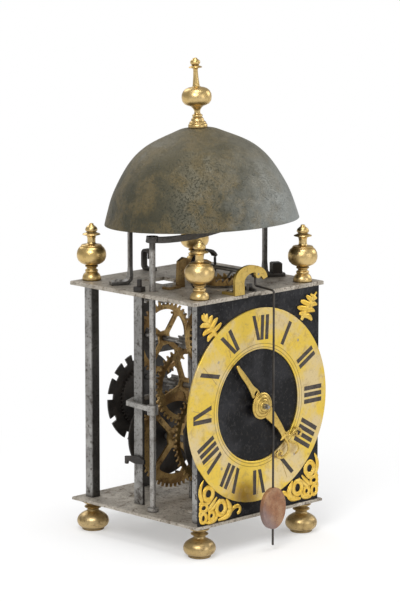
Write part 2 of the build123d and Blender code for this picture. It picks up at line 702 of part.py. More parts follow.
def scroll(side, points, width):
    """Adds one curved stroke, given as (x, height) points on the dial, to the sketch."""
    with BuildLine() as stroke:
        Spline(*[(side * x, height) for x, height in points])
    trace(stroke.line, line_width=width)


SCROLL_EYES = (
    (60.0, 27.0, 5.6, 2.7),
    (46.0, 12.0, 6.2, 3.0),
    (61.0, 14.5, 4.2, 1.8),
    (66.0, 6.8, 3.9, 1.5),
    (54.0, 5.2, 4.0, 1.6),
)
SCROLL_STROKES = (
    (2.8, ((66.5, 38.5), (69.0, 32.0), (68.0, 23.5), (64.0, 18.0))),
    (2.4, ((65.0, 28.0), (69.2, 20.0), (68.6, 11.0))),
    (2.6, ((69.0, 2.0), (58.0, 1.6), (46.0, 2.6), (37.0, 2.6), (29.0, 4.0))),
    (2.6, ((41.0, 12.0), (36.0, 9.6), (31.5, 5.0), (26.6, 4.2), (22.8, 7.2), (25.4, 9.8))),
    (2.6, ((56.0, 22.8), (52.8, 19.6), (49.6, 17.2))),
    (2.2, ((58.4, 8.4), (60.0, 5.0), (61.0, 2.4))),
    (2.4, ((60.2, 22.6), (60.6, 19.8), (61.0, 17.6))),
    (2.6, ((62.6, 12.2), (63.6, 10.4), (64.4, 8.8))),
)
LEAVES = (((-50.4, 154.0), (-65.0, 175.4)), ((51.4, 156.0), (66.2, 176.8)))

with BuildPart() as spandrels:
    for base, tip in LEAVES:
        with BuildSketch(upright(0, DIAL_FRONT_Y, DECK)):
            oak_leaf(base, tip, 15.0)
            with Locations((CENTRE_X, DIAL_UP)):
                Circle(RING_OUTER + ROOM, mode=Mode.SUBTRACT)
        extrude(amount=ORNAMENT_THICKNESS)
    for side in (-1, 1):
        with BuildSketch(upright(0, DIAL_FRONT_Y, DECK)):
            for x, height, radius, eye in SCROLL_EYES:
                with Locations((side * x, height)):
                    Circle(radius)
            for width, points in SCROLL_STROKES:
                scroll(side, points, width)
            for x, height, radius, eye in SCROLL_EYES:
                with Locations((side * x, height)):
                    Circle(eye, mode=Mode.SUBTRACT)
            with Locations((CENTRE_X, DIAL_UP)):
                Circle(RING_OUTER + ROOM, mode=Mode.SUBTRACT)
        extrude(amount=ORNAMENT_THICKNESS)
keep(spandrels, "spandrels")


# ================================================================== going train
def pulley(up, middle_y, radius, seat):
    """A rope pulley with a grooved rim and a solid centre, turned on its arbor's line."""
    half = PULLEY_WIDTH / 2
    plane = wheel_plane(up, middle_y)
    with BuildPart() as piece:
        with BuildSketch(Plane(origin=plane.origin, x_dir=(0, 1, 0), z_dir=(1, 0, 0))):
            with BuildLine():
                Polyline(
                    (-half, seat + SEAT),
                    (-half, radius),
                    (-half + 1.6, radius),
                    (-1.6, radius - 6.5),
                    (1.6, radius - 6.5),
                    (half - 1.6, radius),
                    (half, radius),
                    (half, seat + SEAT),
                    close=True,
                )
            make_face()
        revolve(axis=Axis(plane.origin, (0, 1, 0)))
    return piece


def end_play(front, back):
    """Front and back of an arbor's body between two bars' facing sides."""
    return front + ROOM, back - ROOM


FRONT_FACE = FRONT_BAR_Y + BAR_THICKNESS / 2
MIDDLE_FRONT, MIDDLE_BACK = MIDDLE_BAR_Y - BAR_THICKNESS / 2, MIDDLE_BAR_Y + BAR_THICKNESS / 2
REAR_FACE = REAR_BAR_Y - BAR_THICKNESS / 2
PIVOT_REACH = BAR_THICKNESS + ROOM - 0.2
GOING_SPAN = end_play(FRONT_FACE, MIDDLE_FRONT)
STRIKE_SPAN = end_play(MIDDLE_BACK, REAR_FACE)
HALF_LEAF = {6: 30.0, 7: 180.0 / 7, 8: 22.5}

going_great_wheel = wheel(
    GOING_GREAT_UP, GOING_GREAT_Y, GOING_GREAT_TEETH, MODULE, GREAT_ARBOR_RADIUS, hub=6.0
)
keep(going_great_wheel, "going_great_wheel")
MOTION_PINION_Y, MOTION_PINION_LENGTH = -69.35, 2.7
going_great_arbor = arbor(
    GOING_GREAT_UP,
    *GOING_SPAN,
    GREAT_ARBOR_RADIUS,
    GREAT_PIVOT_RADIUS,
    GOING_SPAN[0] - (MOTION_PINION_Y - MOTION_PINION_LENGTH / 2),
    PIVOT_REACH,
    [(MOTION_PINION_Y, HOUR_LEAVES, HOUR_MODULE, 90.0 + HALF_LEAF[6], MOTION_PINION_LENGTH)],
)
keep(going_great_arbor, "going_great_arbor")
keep(
    pulley(GOING_GREAT_UP, GOING_PULLEY_Y, GOING_PULLEY_RADIUS, GREAT_ARBOR_RADIUS),
    "going_pulley",
)

going_second_wheel = wheel(
    GOING_SECOND_UP, GOING_SECOND_Y, GOING_SECOND_TEETH, MODULE, ARBOR_RADIUS, arm_turn=0.0
)
keep(going_second_wheel, "going_second_wheel")
going_second_arbor = arbor(
    GOING_SECOND_UP,
    *GOING_SPAN,
    ARBOR_RADIUS,
    PIVOT_RADIUS,
    PIVOT_REACH,
    PIVOT_REACH,
    [(GOING_GREAT_Y, GOING_SECOND_LEAVES, MODULE, -90.0 + HALF_LEAF[7], PINION_LENGTH)],
)
keep(going_second_arbor, "going_second_arbor")

CONTRATE_BAND, CONTRATE_WALL, CONTRATE_TOOTH = 3.8, 2.2, 3.6
with BuildPart() as contrate_wheel:
    face_y = CONTRATE_Y + 1.0
    outer = CONTRATE_RADIUS + 0.9
    with BuildSketch(wheel_plane(CONTRATE_UP, face_y)):
        Circle(outer)
        Circle(ARBOR_RADIUS + SEAT, mode=Mode.SUBTRACT)
    extrude(amount=1.5)
    with BuildSketch(wheel_plane(CONTRATE_UP, face_y)):
        add(crossings(ARBOR_RADIUS + 3.5, outer - 4.0, 3, 5.0, 90.0))
    extrude(amount=1.5, mode=Mode.SUBTRACT)
    with BuildSketch(wheel_plane(CONTRATE_UP, face_y)):
        Circle(outer)
        Circle(outer - CONTRATE_WALL, mode=Mode.SUBTRACT)
    extrude(amount=1.5 + CONTRATE_BAND + CONTRATE_TOOTH)
    gap_plane = Plane(
        origin=(CENTRE_X, face_y - 1.5 - CONTRATE_BAND - CONTRATE_TOOTH, DECK + CONTRATE_UP),
        x_dir=(1, 0, 0),
        z_dir=(0, 0, 1),
    )
    pitch = 2 * pi * CONTRATE_RADIUS / CONTRATE_TEETH
    with BuildSketch(gap_plane) as gap:
        with BuildLine():
            Polyline(
                (-0.40 * pitch, -1),
                (-0.40 * pitch, 0),
                (-0.26 * pitch, CONTRATE_TOOTH),
                (0.26 * pitch, CONTRATE_TOOTH),
                (0.40 * pitch, 0),
                (0.40 * pitch, -1),
                close=True,
            )
        make_face()
    cutter = extrude(gap.sketch, amount=outer + 2, mode=Mode.PRIVATE)
    centre_line = Axis(gap_plane.origin, (0, -1, 0))
    gaps = [
        cutter.rotate(centre_line, 360 * (step + 0.5) / CONTRATE_TEETH)
        for step in range(CONTRATE_TEETH)
    ]
    add(gaps, mode=Mode.SUBTRACT)
keep(contrate_wheel, "contrate_wheel")
contrate_arbor = arbor(
    CONTRATE_UP,
    *GOING_SPAN,
    ARBOR_RADIUS,
    PIVOT_RADIUS,
    PIVOT_REACH,
    PIVOT_REACH,
    [(GOING_SECOND_Y, CONTRATE_LEAVES, MODULE, -90.0 + HALF_LEAF[6], PINION_LENGTH)],
)
keep(contrate_arbor, "contrate_arbor")


# ================================================================== escapement
CROWN_PINION_UP, CROWN_PINION_LENGTH = 173.5, 9.0
CROWN_PINION_MODULE = 2 * 4.58 / CROWN_LEAVES
CROWN_FOOT_UP = 162.0
POTENCE_FOOT, POTENCE_WIDTH = 3.0, 7.0


def level(up, x=CENTRE_X, y=CROWN_Y):
    """A level plane at a height above the deck; local X is the model's X."""
    return Plane.XY.move(Location((x, y, DECK + up)))


with BuildPart() as crown_wheel:
    with BuildSketch(level(CROWN_BASE_UP)):
        Circle(CROWN_RADIUS)
        Circle(ARBOR_RADIUS + SEAT, mode=Mode.SUBTRACT)
    extrude(amount=1.3)
    with BuildSketch(level(CROWN_BASE_UP)):
        add(crossings(ARBOR_RADIUS + 2.2, CROWN_RADIUS - 2.2, 3, 3.0, 30.0, 1.0))
    extrude(amount=1.3, mode=Mode.SUBTRACT)
    with BuildSketch(level(CROWN_BASE_UP)):
        Circle(CROWN_RADIUS)
        Circle(CROWN_RADIUS - 1.5, mode=Mode.SUBTRACT)
    extrude(amount=CROWN_TIP_UP - CROWN_BASE_UP)
    pitch = 2 * pi * CROWN_RADIUS / CROWN_TEETH
    depth = 3.6
    tooth_plane = Plane(
        origin=(CENTRE_X, CROWN_Y, DECK + CROWN_TIP_UP), x_dir=(0, 1, 0), z_dir=(1, 0, 0)
    )
    with BuildSketch(tooth_plane) as saw_gap:
        with BuildLine():
            Polyline(
                (0.10 * pitch, 1),
                (0.10 * pitch, 0),
                (0.22 * pitch, -depth),
                (0.98 * pitch, 0),
                (0.98 * pitch, 1),
                close=True,
            )
        make_face()
    cutter = extrude(saw_gap.sketch, amount=CROWN_RADIUS + 2, mode=Mode.PRIVATE)
    crown_line = Axis(tooth_plane.origin, (0, 0, 1))
    gaps = [
        cutter.rotate(crown_line, CROWN_PHASE + 360 * step / CROWN_TEETH)
        for step in range(CROWN_TEETH)
    ]
    add(gaps, mode=Mode.SUBTRACT)
keep(crown_wheel, "crown_wheel")

with BuildPart() as crown_arbor:
    with BuildSketch(level(CROWN_FOOT_UP + 0.6)):
        Circle(PIVOT_RADIUS)
    extrude(amount=CROWN_BASE_UP - CROWN_FOOT_UP + 0.6)
    with BuildSketch(level(CROWN_FOOT_UP + POTENCE_FOOT + ROOM)):
        Circle(ARBOR_RADIUS)
    extrude(amount=PILLAR_HEIGHT - CROWN_FOOT_UP - POTENCE_FOOT - 2 * ROOM)
    with BuildSketch(level(PILLAR_HEIGHT + TOP_THICKNESS + ROOM)):
        Circle(ARBOR_RADIUS)
    extrude(amount=CROWN_BASE_UP - PILLAR_HEIGHT - TOP_THICKNESS - ROOM + 3.0)
    pinion_on(
        level(CROWN_PINION_UP - CROWN_PINION_LENGTH / 2),
        CROWN_LEAVES,
        CROWN_PINION_MODULE,
        90.0 + HALF_LEAF[6],
        CROWN_PINION_LENGTH,
    )
keep(crown_arbor, "crown_arbor")

with BuildPart() as potence:
    with BuildSketch(upright(CENTRE_X, POTENCE_Y + 1.5, DECK)):
        with Locations((0, (CROWN_FOOT_UP + PILLAR_HEIGHT) / 2)):
            Rectangle(POTENCE_WIDTH, PILLAR_HEIGHT - CROWN_FOOT_UP)
    extrude(amount=3.0)
    with BuildSketch(level(CROWN_FOOT_UP)):
        with Locations((0, (POTENCE_Y + 1.5 - CROWN_Y) / 2)):
            Rectangle(POTENCE_WIDTH, abs(POTENCE_Y + 1.5 - CROWN_Y))
        Circle(POTENCE_WIDTH / 2)
    extrude(amount=POTENCE_FOOT)
    with BuildSketch(level(CROWN_FOOT_UP)):
        Circle(PIVOT_RADIUS + RUNNING)
    extrude(amount=POTENCE_FOOT, mode=Mode.SUBTRACT)
    with BuildSketch(level(PILLAR_HEIGHT, y=POTENCE_Y)):
        Rectangle(POTENCE_WIDTH, 6.0)
    extrude(amount=-5.0)
keep(potence, "potence")

VERGE_FRONT, VERGE_BACK = FRONT_COCK_Y - 1.0, REAR_COCK_Y + 1.4
CRUTCH_Y, CRUTCH_UP = -70.6, 191.0
with BuildPart() as verge_staff:
    with BuildSketch(wheel_plane(VERGE_UP, VERGE_BACK)):
        Circle(1.0)
    extrude(amount=VERGE_BACK - VERGE_FRONT)
    with BuildSketch(wheel_plane(VERGE_UP, REAR_COCK_Y - 1.5 - ROOM)):
        Circle(VERGE_RADIUS)
    extrude(amount=REAR_COCK_Y - 1.5 - ROOM - (FRONT_COCK_Y + 1.1 + ROOM))
    for side in (-1, 1):
        lean = radians(PALLET_ANGLE)
        pallet_plane = Plane(
            origin=(CENTRE_X, CROWN_Y + side * (CROWN_RADIUS - 0.75), DECK + VERGE_UP),
            x_dir=(side * cos(lean), 0, sin(lean)),
            z_dir=(side * sin(lean), 0, -cos(lean)),
        )
        with BuildSketch(pallet_plane):
            Rectangle(PALLET_THICKNESS, PALLET_WIDTH)
        extrude(amount=PALLET_LENGTH)
keep(verge_staff, "verge_staff")

FRONT_COCK_THICKNESS = 2.2
with BuildPart() as front_cock:
    with BuildSketch(upright(0, FRONT_COCK_Y + FRONT_COCK_THICKNESS / 2, ROOF)):
        with BuildLine():
            Line((-18.5, 0.0), (-29.7, 0.0))
            Line((-29.7, 0.0), (-29.7, 12.0))
            Spline(
                (-29.7, 12.0),
                (-25.9, 19.6),
                (-17.2, 23.2),
                (-5.6, 22.6),
                (4.4, 18.0),
                (8.1, 11.6),
            )
            Line((8.1, 11.6), (3.2, 10.1))
            Spline((3.2, 10.1), (-2.4, 15.2), (-9.5, 17.0), (-17.4, 13.4), (-18.5, 6.6))
            Line((-18.5, 6.6), (-18.5, 0.0))
        make_face()
        with Locations((CENTRE_X, VERGE_UP - PILLAR_HEIGHT - TOP_THICKNESS)):
            Circle(3.4)
    extrude(amount=FRONT_COCK_THICKNESS)
    with BuildSketch(Plane.XY.offset(ROOF)):
        with Locations((-24.1, -66.9)):
            Rectangle(11.2, 15.2)
    extrude(amount=FOOT_TAB)
    with BuildSketch(Plane.XY.offset(ROOF)):
        with Locations(FRONT_COCK_SCREW):
            Circle(SCREW_RADIUS + SEAT)
    extrude(amount=FOOT_TAB, mode=Mode.SUBTRACT)
    with BuildSketch(wheel_plane(VERGE_UP, FRONT_COCK_Y + FRONT_COCK_THICKNESS / 2)):
        Circle(1.0 + RUNNING)
    extrude(amount=FRONT_COCK_THICKNESS, mode=Mode.SUBTRACT)
keep(front_cock, "front_cock")

with BuildPart() as rear_cock:
    with BuildSketch(upright(0, REAR_COCK_Y + 1.5, ROOF)):
        with BuildLine():
            Polyline(
                (-36.0, 0.0),
                (-28.0, 0.0),
                (-28.4, 9.0),
                (-24.0, 13.0),
                (-8.0, 11.2),
                (CENTRE_X, 10.0),
                (2.6, 13.0),
                (2.6, 17.5),
                (-2.5, 20.0),
                (-20.0, 22.0),
                (-29.0, 25.0),
                (-35.0, 22.0),
                close=True,
            )
        make_face()
    extrude(amount=3.0)
    with BuildSketch(Plane.XY.offset(ROOF)):
        with Locations((-42.0, REAR_COCK_Y)):
            Rectangle(14.0, 8.0)
    extrude(amount=FOOT_TAB)
    with BuildSketch(Plane.XY.offset(ROOF)):
        with Locations(REAR_COCK_SCREW):
            Circle(SCREW_RADIUS + SEAT)
    extrude(amount=FOOT_TAB, mode=Mode.SUBTRACT)
    with BuildSketch(wheel_plane(VERGE_UP, REAR_COCK_Y + 1.5)):
        Circle(1.0 + RUNNING)
    extrude(amount=3.0, mode=Mode.SUBTRACT)
keep(rear_cock, "rear_cock")

with BuildPart() as pendulum_rod:
    with BuildLine() as crutch_path:
        FilletPolyline(
            (CENTRE_X, CRUTCH_Y, DECK + VERGE_UP),
            (CENTRE_X, CRUTCH_Y, DECK + CRUTCH_UP),
            (CENTRE_X, PENDULUM_Y, DECK + CRUTCH_UP - 1.5),
            (CENTRE_X, PENDULUM_Y, DECK + PENDULUM_BOTTOM),
            radius=2.0,
        )
    with BuildSketch(Plane(origin=(CENTRE_X, CRUTCH_Y, DECK + VERGE_UP), z_dir=(0, 0, -1))):
        Circle(ROD_RADIUS)
    sweep(path=crutch_path.line)
    with BuildSketch(wheel_plane(VERGE_UP, CRUTCH_Y + 1.4)):
        Circle(VERGE_RADIUS + 1.6)
    extrude(amount=2.8)
    with BuildSketch(wheel_plane(VERGE_UP, CRUTCH_Y + 1.4)):
        Circle(VERGE_RADIUS + SEAT)
    extrude(amount=2.8, mode=Mode.SUBTRACT)
keep(pendulum_rod, "pendulum_rod")

with BuildPart() as pendulum_bob:
    with BuildSketch(upright(CENTRE_X, PENDULUM_Y + BOB_THICKNESS / 2, DECK + BOB_UP)):
        Ellipse(BOB_WIDTH / 2, BOB_HEIGHT / 2)
    extrude(amount=BOB_THICKNESS)
    fillet(pendulum_bob.edges().group_by(SortBy.LENGTH)[-1], 1.2)
    with BuildSketch(Plane.XY.offset(DECK + BOB_UP - BOB_HEIGHT)):
        with Locations((CENTRE_X, PENDULUM_Y)):
            Circle(ROD_RADIUS + RUNNING)
    extrude(amount=2 * BOB_HEIGHT, mode=Mode.SUBTRACT)
keep(pendulum_bob, "pendulum_bob")


# ================================================================== motion work and hand
HOUR_PINS, HOUR_PIN_CIRCLE, HOUR_PIN_RADIUS = 12, 27.0, 1.0
HAND_SEAT_RADIUS, HAND_TIP_Y, HAND_BACK_Y = 2.2, -87.0, -77.0

hour_blank = wheel(
    DIAL_UP, HOUR_WHEEL_Y, HOUR_TEETH, HOUR_MODULE, HOUR_ARBOR_RADIUS, turn=-90.0, thickness=1.5
)
with BuildPart() as hour_wheel:
    add(hour_blank.part)
    with BuildSketch(wheel_plane(DIAL_UP, HOUR_WHEEL_Y + 0.75)):
        with PolarLocations(HOUR_PIN_CIRCLE - 1.0, HOUR_PINS, start_angle=15):
            Circle(HOUR_PIN_RADIUS)
    extrude(amount=-2.5)
keep(hour_wheel, "hour_wheel")

HOUR_BODY_BACK = FRONT_BAR_Y - BAR_THICKNESS / 2 - ROOM
hour_arbor = rod(
    wheel_plane(DIAL_UP, FRONT_FACE - 0.2),
    [
        (HOUR_PIVOT_RADIUS, FRONT_FACE - 0.2 - HOUR_BODY_BACK),
        (HOUR_ARBOR_RADIUS, HOUR_BODY_BACK - HAND_BACK_Y - SEAT),
        (HAND_SEAT_RADIUS, HAND_BACK_Y - HAND_TIP_Y - 2.0),
        (1.4, 2.0),
    ],
)
keep(hour_arbor, "hour_arbor")


def stroke(points, width):
    """Adds a stroke of even width through the points to the sketch."""
    with BuildLine() as path:
        if len(points) == 2:
            Line(*points)
        else:
            Spline(*points)
    trace(path.line, line_width=width)


with BuildPart() as hour_hand:
    with BuildSketch(wheel_plane(DIAL_UP, HAND_BACK_Y)):
        Circle(HAND_BOSS_RADIUS)
        with BuildLine():
            Polyline(
                (1.0, 5.0), (10.2, -6.0), (15.0, -11.4), (20.4, -20.6), (27.4, -28.0), (29.0, -32.0),
                (37.0, -43.0), (26.6, -34.0), (23.4, -30.2), (17.2, -22.8), (9.2, -15.6),
                (5.0, -10.6), (-5.0, -1.0), close=True,
            )
        make_face()
        stroke([(22.0, -33.4), (25.4, -31.0), (30.6, -26.6)], 2.6)
        stroke([(29.6, -28.6), (36.0, -25.2), (42.6, -27.2), (44.6, -31.6), (41.2, -33.4)], 2.2)
        stroke([(25.2, -33.4), (23.4, -38.6), (24.2, -43.6), (27.6, -45.6), (30.2, -42.8)], 2.2)
        with BuildLine():
            Polyline(
                (-4.0, 8.0), (-8.0, 12.0), (-14.6, 21.0), (-18.8, 29.6), (-24.9, 35.6),
                (-22.6, 27.6), (-17.2, 19.4), (-12.4, 9.8), (-6.6, 3.0), close=True,
            )
        make_face()
        with Locations((-9.0, 11.4)):
            Circle(3.8)
            Circle(1.7, mode=Mode.SUBTRACT)
        with Locations((-20.6, 29.6)):
            SlotOverall(6.4, 1.3, rotation=125.0, mode=Mode.SUBTRACT)
    extrude(amount=HAND_THICKNESS)
    with BuildSketch(wheel_plane(DIAL_UP, HAND_BACK_Y - HAND_THICKNESS)):
        Circle(HAND_BOSS_RADIUS - 0.8)
    extrude(amount=1.2, taper=20)
    with BuildSketch(wheel_plane(DIAL_UP, HAND_BACK_Y - HAND_THICKNESS - 1.2)):
        Circle(6.4)
    extrude(amount=2.2, taper=28)
    with BuildSketch(wheel_plane(DIAL_UP, HAND_BACK_Y)):
        Circle(HAND_SEAT_RADIUS + RUNNING)
    extrude(amount=8, mode=Mode.SUBTRACT)
keep(hour_hand, "hour_hand")


# ================================================================== strike train
strike_great_blank = wheel(
    STRIKE_GREAT_UP,
    STRIKE_GREAT_Y,
    STRIKE_GREAT_TEETH,
    MODULE,
    GREAT_ARBOR_RADIUS,
    hub=6.0,
    rim=8.5,
)
with BuildPart() as strike_great_wheel:
    add(strike_great_blank.part)
    with BuildSketch(wheel_plane(STRIKE_GREAT_UP, STRIKE_GREAT_Y)):
        with PolarLocations(PIN_CIRCLE, PIN_COUNT, start_angle=8):
            Circle(PIN_RADIUS)
    extrude(amount=-8.0)
keep(strike_great_wheel, "strike_great_wheel")
REPORT_Y, REPORT_LENGTH = 63.2, 2.4
strike_great_arbor = arbor(
    STRIKE_GREAT_UP,
    *STRIKE_SPAN,
    GREAT_ARBOR_RADIUS,
    GREAT_PIVOT_RADIUS,
    PIVOT_REACH,
    REPORT_Y + REPORT_LENGTH / 2 - STRIKE_SPAN[1],
    [(REPORT_Y, COUNT_LEAVES, COUNT_MODULE, 90.0 + HALF_LEAF[8], REPORT_LENGTH)],
)
keep(strike_great_arbor, "strike_great_arbor")
keep(
    pulley(STRIKE_GREAT_UP, STRIKE_PULLEY_Y, STRIKE_PULLEY_RADIUS, GREAT_ARBOR_RADIUS),
    "strike_pulley",
)
strike_second_wheel = wheel(
    STRIKE_SECOND_UP, STRIKE_SECOND_Y, STRIKE_SECOND_TEETH, MODULE, ARBOR_RADIUS, arm_turn=20.0
)
keep(strike_second_wheel, "strike_second_wheel")
strike_second_arbor = arbor(
    STRIKE_SECOND_UP,
    *STRIKE_SPAN,
    ARBOR_RADIUS,
    PIVOT_RADIUS,
    PIVOT_REACH,
    PIVOT_REACH,
    [(STRIKE_GREAT_Y, STRIKE_SECOND_LEAVES, MODULE, -90.0 + HALF_LEAF[7], PINION_LENGTH)],
)
keep(strike_second_arbor, "strike_second_arbor")

LOCK_CIRCLE, LOCK_ANGLE, LOCK_RADIUS = 24.0, 53.0, 1.1
third_plane = wheel_plane(STRIKE_THIRD_UP, STRIKE_THIRD_Y + WHEEL_THICKNESS / 2)
third_blank = wheel(
    STRIKE_THIRD_UP,
    STRIKE_THIRD_Y,
    STRIKE_THIRD_TEETH,
    MODULE,
    ARBOR_RADIUS,
    arm_turn=LOCK_ANGLE,
    arm_width=4.4,
)
with BuildPart() as strike_third_wheel:
    add(third_blank.part)
    lock_x = LOCK_CIRCLE * cos(radians(LOCK_ANGLE))
    lock_z = LOCK_CIRCLE * sin(radians(LOCK_ANGLE))
    with BuildSketch(third_plane):
        with Locations((lock_x, lock_z)):
            Circle(LOCK_RADIUS)
    extrude(amount=-4.6)
keep(strike_third_wheel, "strike_third_wheel")
strike_third_arbor = arbor(
    STRIKE_THIRD_UP,
    *STRIKE_SPAN,
    ARBOR_RADIUS,
    PIVOT_RADIUS,
    PIVOT_REACH,
    PIVOT_REACH,
    [(STRIKE_SECOND_Y, STRIKE_THIRD_LEAVES, MODULE, -90.0 + HALF_LEAF[6], PINION_LENGTH)],
)
keep(strike_third_arbor, "strike_third_arbor")

fly_arbor = arbor(
    FLY_UP,
    *STRIKE_SPAN,
    1.8,
    PIVOT_RADIUS,
    PIVOT_REACH,
    PIVOT_REACH,
    [(STRIKE_THIRD_Y, FLY_LEAVES, MODULE, -90.0 + HALF_LEAF[6], PINION_LENGTH)],
)
with BuildPart() as fly:
    add(fly_arbor.part)
    with BuildSketch(wheel_plane(FLY_UP, 57.0)):
        Rectangle(2 * FLY_RADIUS, 0.9, rotation=20)
        Circle(3.0)
    extrude(amount=11.0)
keep(fly, "fly")

COUNT_BLOWS = (3, 4, 5, 6, 7, 8, 9, 10, 11, 12, 1, 2)
with BuildPart() as count_wheel:
    gear_back = COUNT_GEAR_Y + 0.75
    disc_front = COUNT_DISC_Y - 0.75
    with BuildSketch(wheel_plane(COUNT_UP, gear_back)):
        with BuildLine():
            Polyline(*tooth_outline(COUNT_TEETH, COUNT_MODULE, turn=-90.0), close=True)
        make_face()
    extrude(amount=1.5)
    with BuildSketch(wheel_plane(COUNT_UP, disc_front)):
        Circle(8.0)
    extrude(amount=disc_front - gear_back)
    with BuildSketch(wheel_plane(COUNT_UP, COUNT_DISC_Y + 0.75)):
        Circle(COUNT_RADIUS)
        angle = 90.0
        for blows in COUNT_BLOWS:
            with Locations(Location((0, 0, 0), (0, 0, angle))):
                with Locations((COUNT_RADIUS - NOTCH_DEPTH / 2 + 1, 0)):
                    Rectangle(NOTCH_DEPTH + 2, NOTCH_WIDTH, mode=Mode.SUBTRACT)
            angle += blows * 360.0 / sum(COUNT_BLOWS)
    extrude(amount=1.5)
    with BuildSketch(wheel_plane(COUNT_UP, COUNT_DISC_Y + 0.75)):
        Circle(COUNT_STUD_RADIUS + RUNNING)
    extrude(amount=6.0, mode=Mode.SUBTRACT)
keep(count_wheel, "count_wheel")


# ================================================================== levers
LEVER_THICKNESS = 2.0
REAR_NOSE_Y, LOCK_NOSE_Y, TAIL_Y = 65.6, 41.0, -67.2


def lever(middle_y, outline):
    """Adds a flat lever, drawn from the detent's arbor, to the part being built."""
    with BuildSketch(wheel_plane(DETENT_UP, middle_y + LEVER_THICKNESS / 2, DETENT_X)) as flat:
        Circle(DETENT_RADIUS + 2.4)
        with BuildLine():
            Polyline(*outline, close=True)
        make_face()
    extrude(flat.sketch, amount=LEVER_THICKNESS)


with BuildPart() as detent:
    rear_end = REAR_NOSE_Y + LEVER_THICKNESS / 2
    with BuildSketch(wheel_plane(DETENT_UP, rear_end, DETENT_X)):
        Circle(DETENT_RADIUS)
    extrude(amount=rear_end - TAIL_Y + LEVER_THICKNESS / 2)
    reach = CENTRE_X - DETENT_X
    over_disc = COUNT_UP + COUNT_RADIUS + 0.6 - DETENT_UP
    lever(REAR_NOSE_Y, [
        (2.0, -3.0), (2.0, 4.0), (reach - 1.0, 7.2), (reach - 1.0, over_disc),
        (reach + 1.0, over_disc), (reach + 1.8, 3.6), (reach + 6.0, 3.4), (-4.0, -3.0),
    ])
    lever(LOCK_NOSE_Y, [
        (1.8, 0.0), (-10.4, 32.4), (-13.6, 34.0), (-17.7, 30.4), (-16.6, 28.8), (-13.6, 29.2),
        (-2.4, 0.0),
    ])
    lever(TAIL_Y, [(2.0, -1.0), (-2.4, -26.4), (-5.6, -27.4), (-6.4, -25.8), (-2.2, 0.0)])
keep(detent, "detent")

HAMMER_PLANE = Plane(
    origin=(HAMMER_X, HAMMER_Y, DECK),
    x_dir=(cos(radians(HAMMER_AIM)), sin(radians(HAMMER_AIM)), 0),
    z_dir=(sin(radians(HAMMER_AIM)), -cos(radians(HAMMER_AIM)), 0),
)
HAMMER_HEAD_UP, HAMMER_HEAD_LENGTH, HAMMER_HEAD_GAP = 248.0, 24.0, 3.2
TAIL_UNDER, TAIL_THICKNESS, TAIL_WIDTH = 84.4, 4.0, 3.0

with BuildPart() as hammer_arbor:
    with BuildSketch(Plane.XY.offset(FOOT_HEIGHT + 0.4)):
        with Locations((HAMMER_X, HAMMER_Y)):
            Circle(HAMMER_RADIUS)
    extrude(amount=DECK + HAMMER_TOP - FOOT_HEIGHT - 0.4)
    for up, height in ((ROOM, 3.0), (TAIL_UNDER - 2.0, TAIL_THICKNESS + 4.0)):
        with BuildSketch(Plane.XY.offset(DECK + up)):
            with Locations((HAMMER_X, HAMMER_Y)):
                Circle(HAMMER_RADIUS + 2.0)
        extrude(amount=height)
    with BuildSketch(Plane.XY.offset(DECK + TAIL_UNDER)):
        with BuildLine():
            Polyline(
                (HAMMER_X, HAMMER_Y),
                (HAMMER_X + 4, HAMMER_Y + 34),
                (HAMMER_X + 16, HAMMER_Y + 40),
                (HAMMER_X + 51, HAMMER_Y + 40),
            )
        trace(line_width=TAIL_WIDTH)
    extrude(amount=TAIL_THICKNESS)

crown_x, crown_y = BELL_CROWN_X, BELL_CROWN_Y
below = BELL_CROWN_UP - HAMMER_HEAD_UP
head_axis = (crown_x - BELL_LEAN_X * below, crown_y - BELL_LEAN_Y * below)
arm_end = (
    HAMMER_X + HAMMER_REACH * cos(radians(HAMMER_AIM)),
    HAMMER_Y + HAMMER_REACH * sin(radians(HAMMER_AIM)),
)
outward = atan2(arm_end[1] - head_axis[1], arm_end[0] - head_axis[0])
head_far = BELL_RADIUS * 0.934 - BELL_WALL - HAMMER_HEAD_GAP
with BuildPart() as hammer:
    add(hammer_arbor.part)
    with BuildSketch(HAMMER_PLANE.offset(-1.8)):
        with BuildLine():
            Spline(
                (-5.0, HAMMER_TOP - 1.0),
                (4.0, HAMMER_TOP - 2.0),
                (15.0, HAMMER_TOP - 1.6),
                (38.0, HAMMER_TOP + 2.0),
                (60.0, HAMMER_TOP + 8.4),
                (HAMMER_REACH, HAMMER_TOP + 13.5),
            )
        trace(line_width=5.0)
    extrude(amount=3.6)
    with BuildSketch(Plane.XY.offset(DECK + HAMMER_TOP - 4.0)):
        with Locations((HAMMER_X, HAMMER_Y)):
            Circle(HAMMER_RADIUS + 2.4)
    extrude(amount=5.0)
    head_plane = Plane(
        origin=(
            head_axis[0] + head_far * cos(outward),
            head_axis[1] + head_far * sin(outward),
            DECK + HAMMER_HEAD_UP,
        ),
        x_dir=(-sin(outward), cos(outward), 0),
        z_dir=(-cos(outward), -sin(outward), 0),
    )
    with BuildSketch(head_plane):
        RectangleRounded(11.0, 15.0, 3.0)
    extrude(amount=HAMMER_HEAD_LENGTH)
keep(hammer, "hammer")

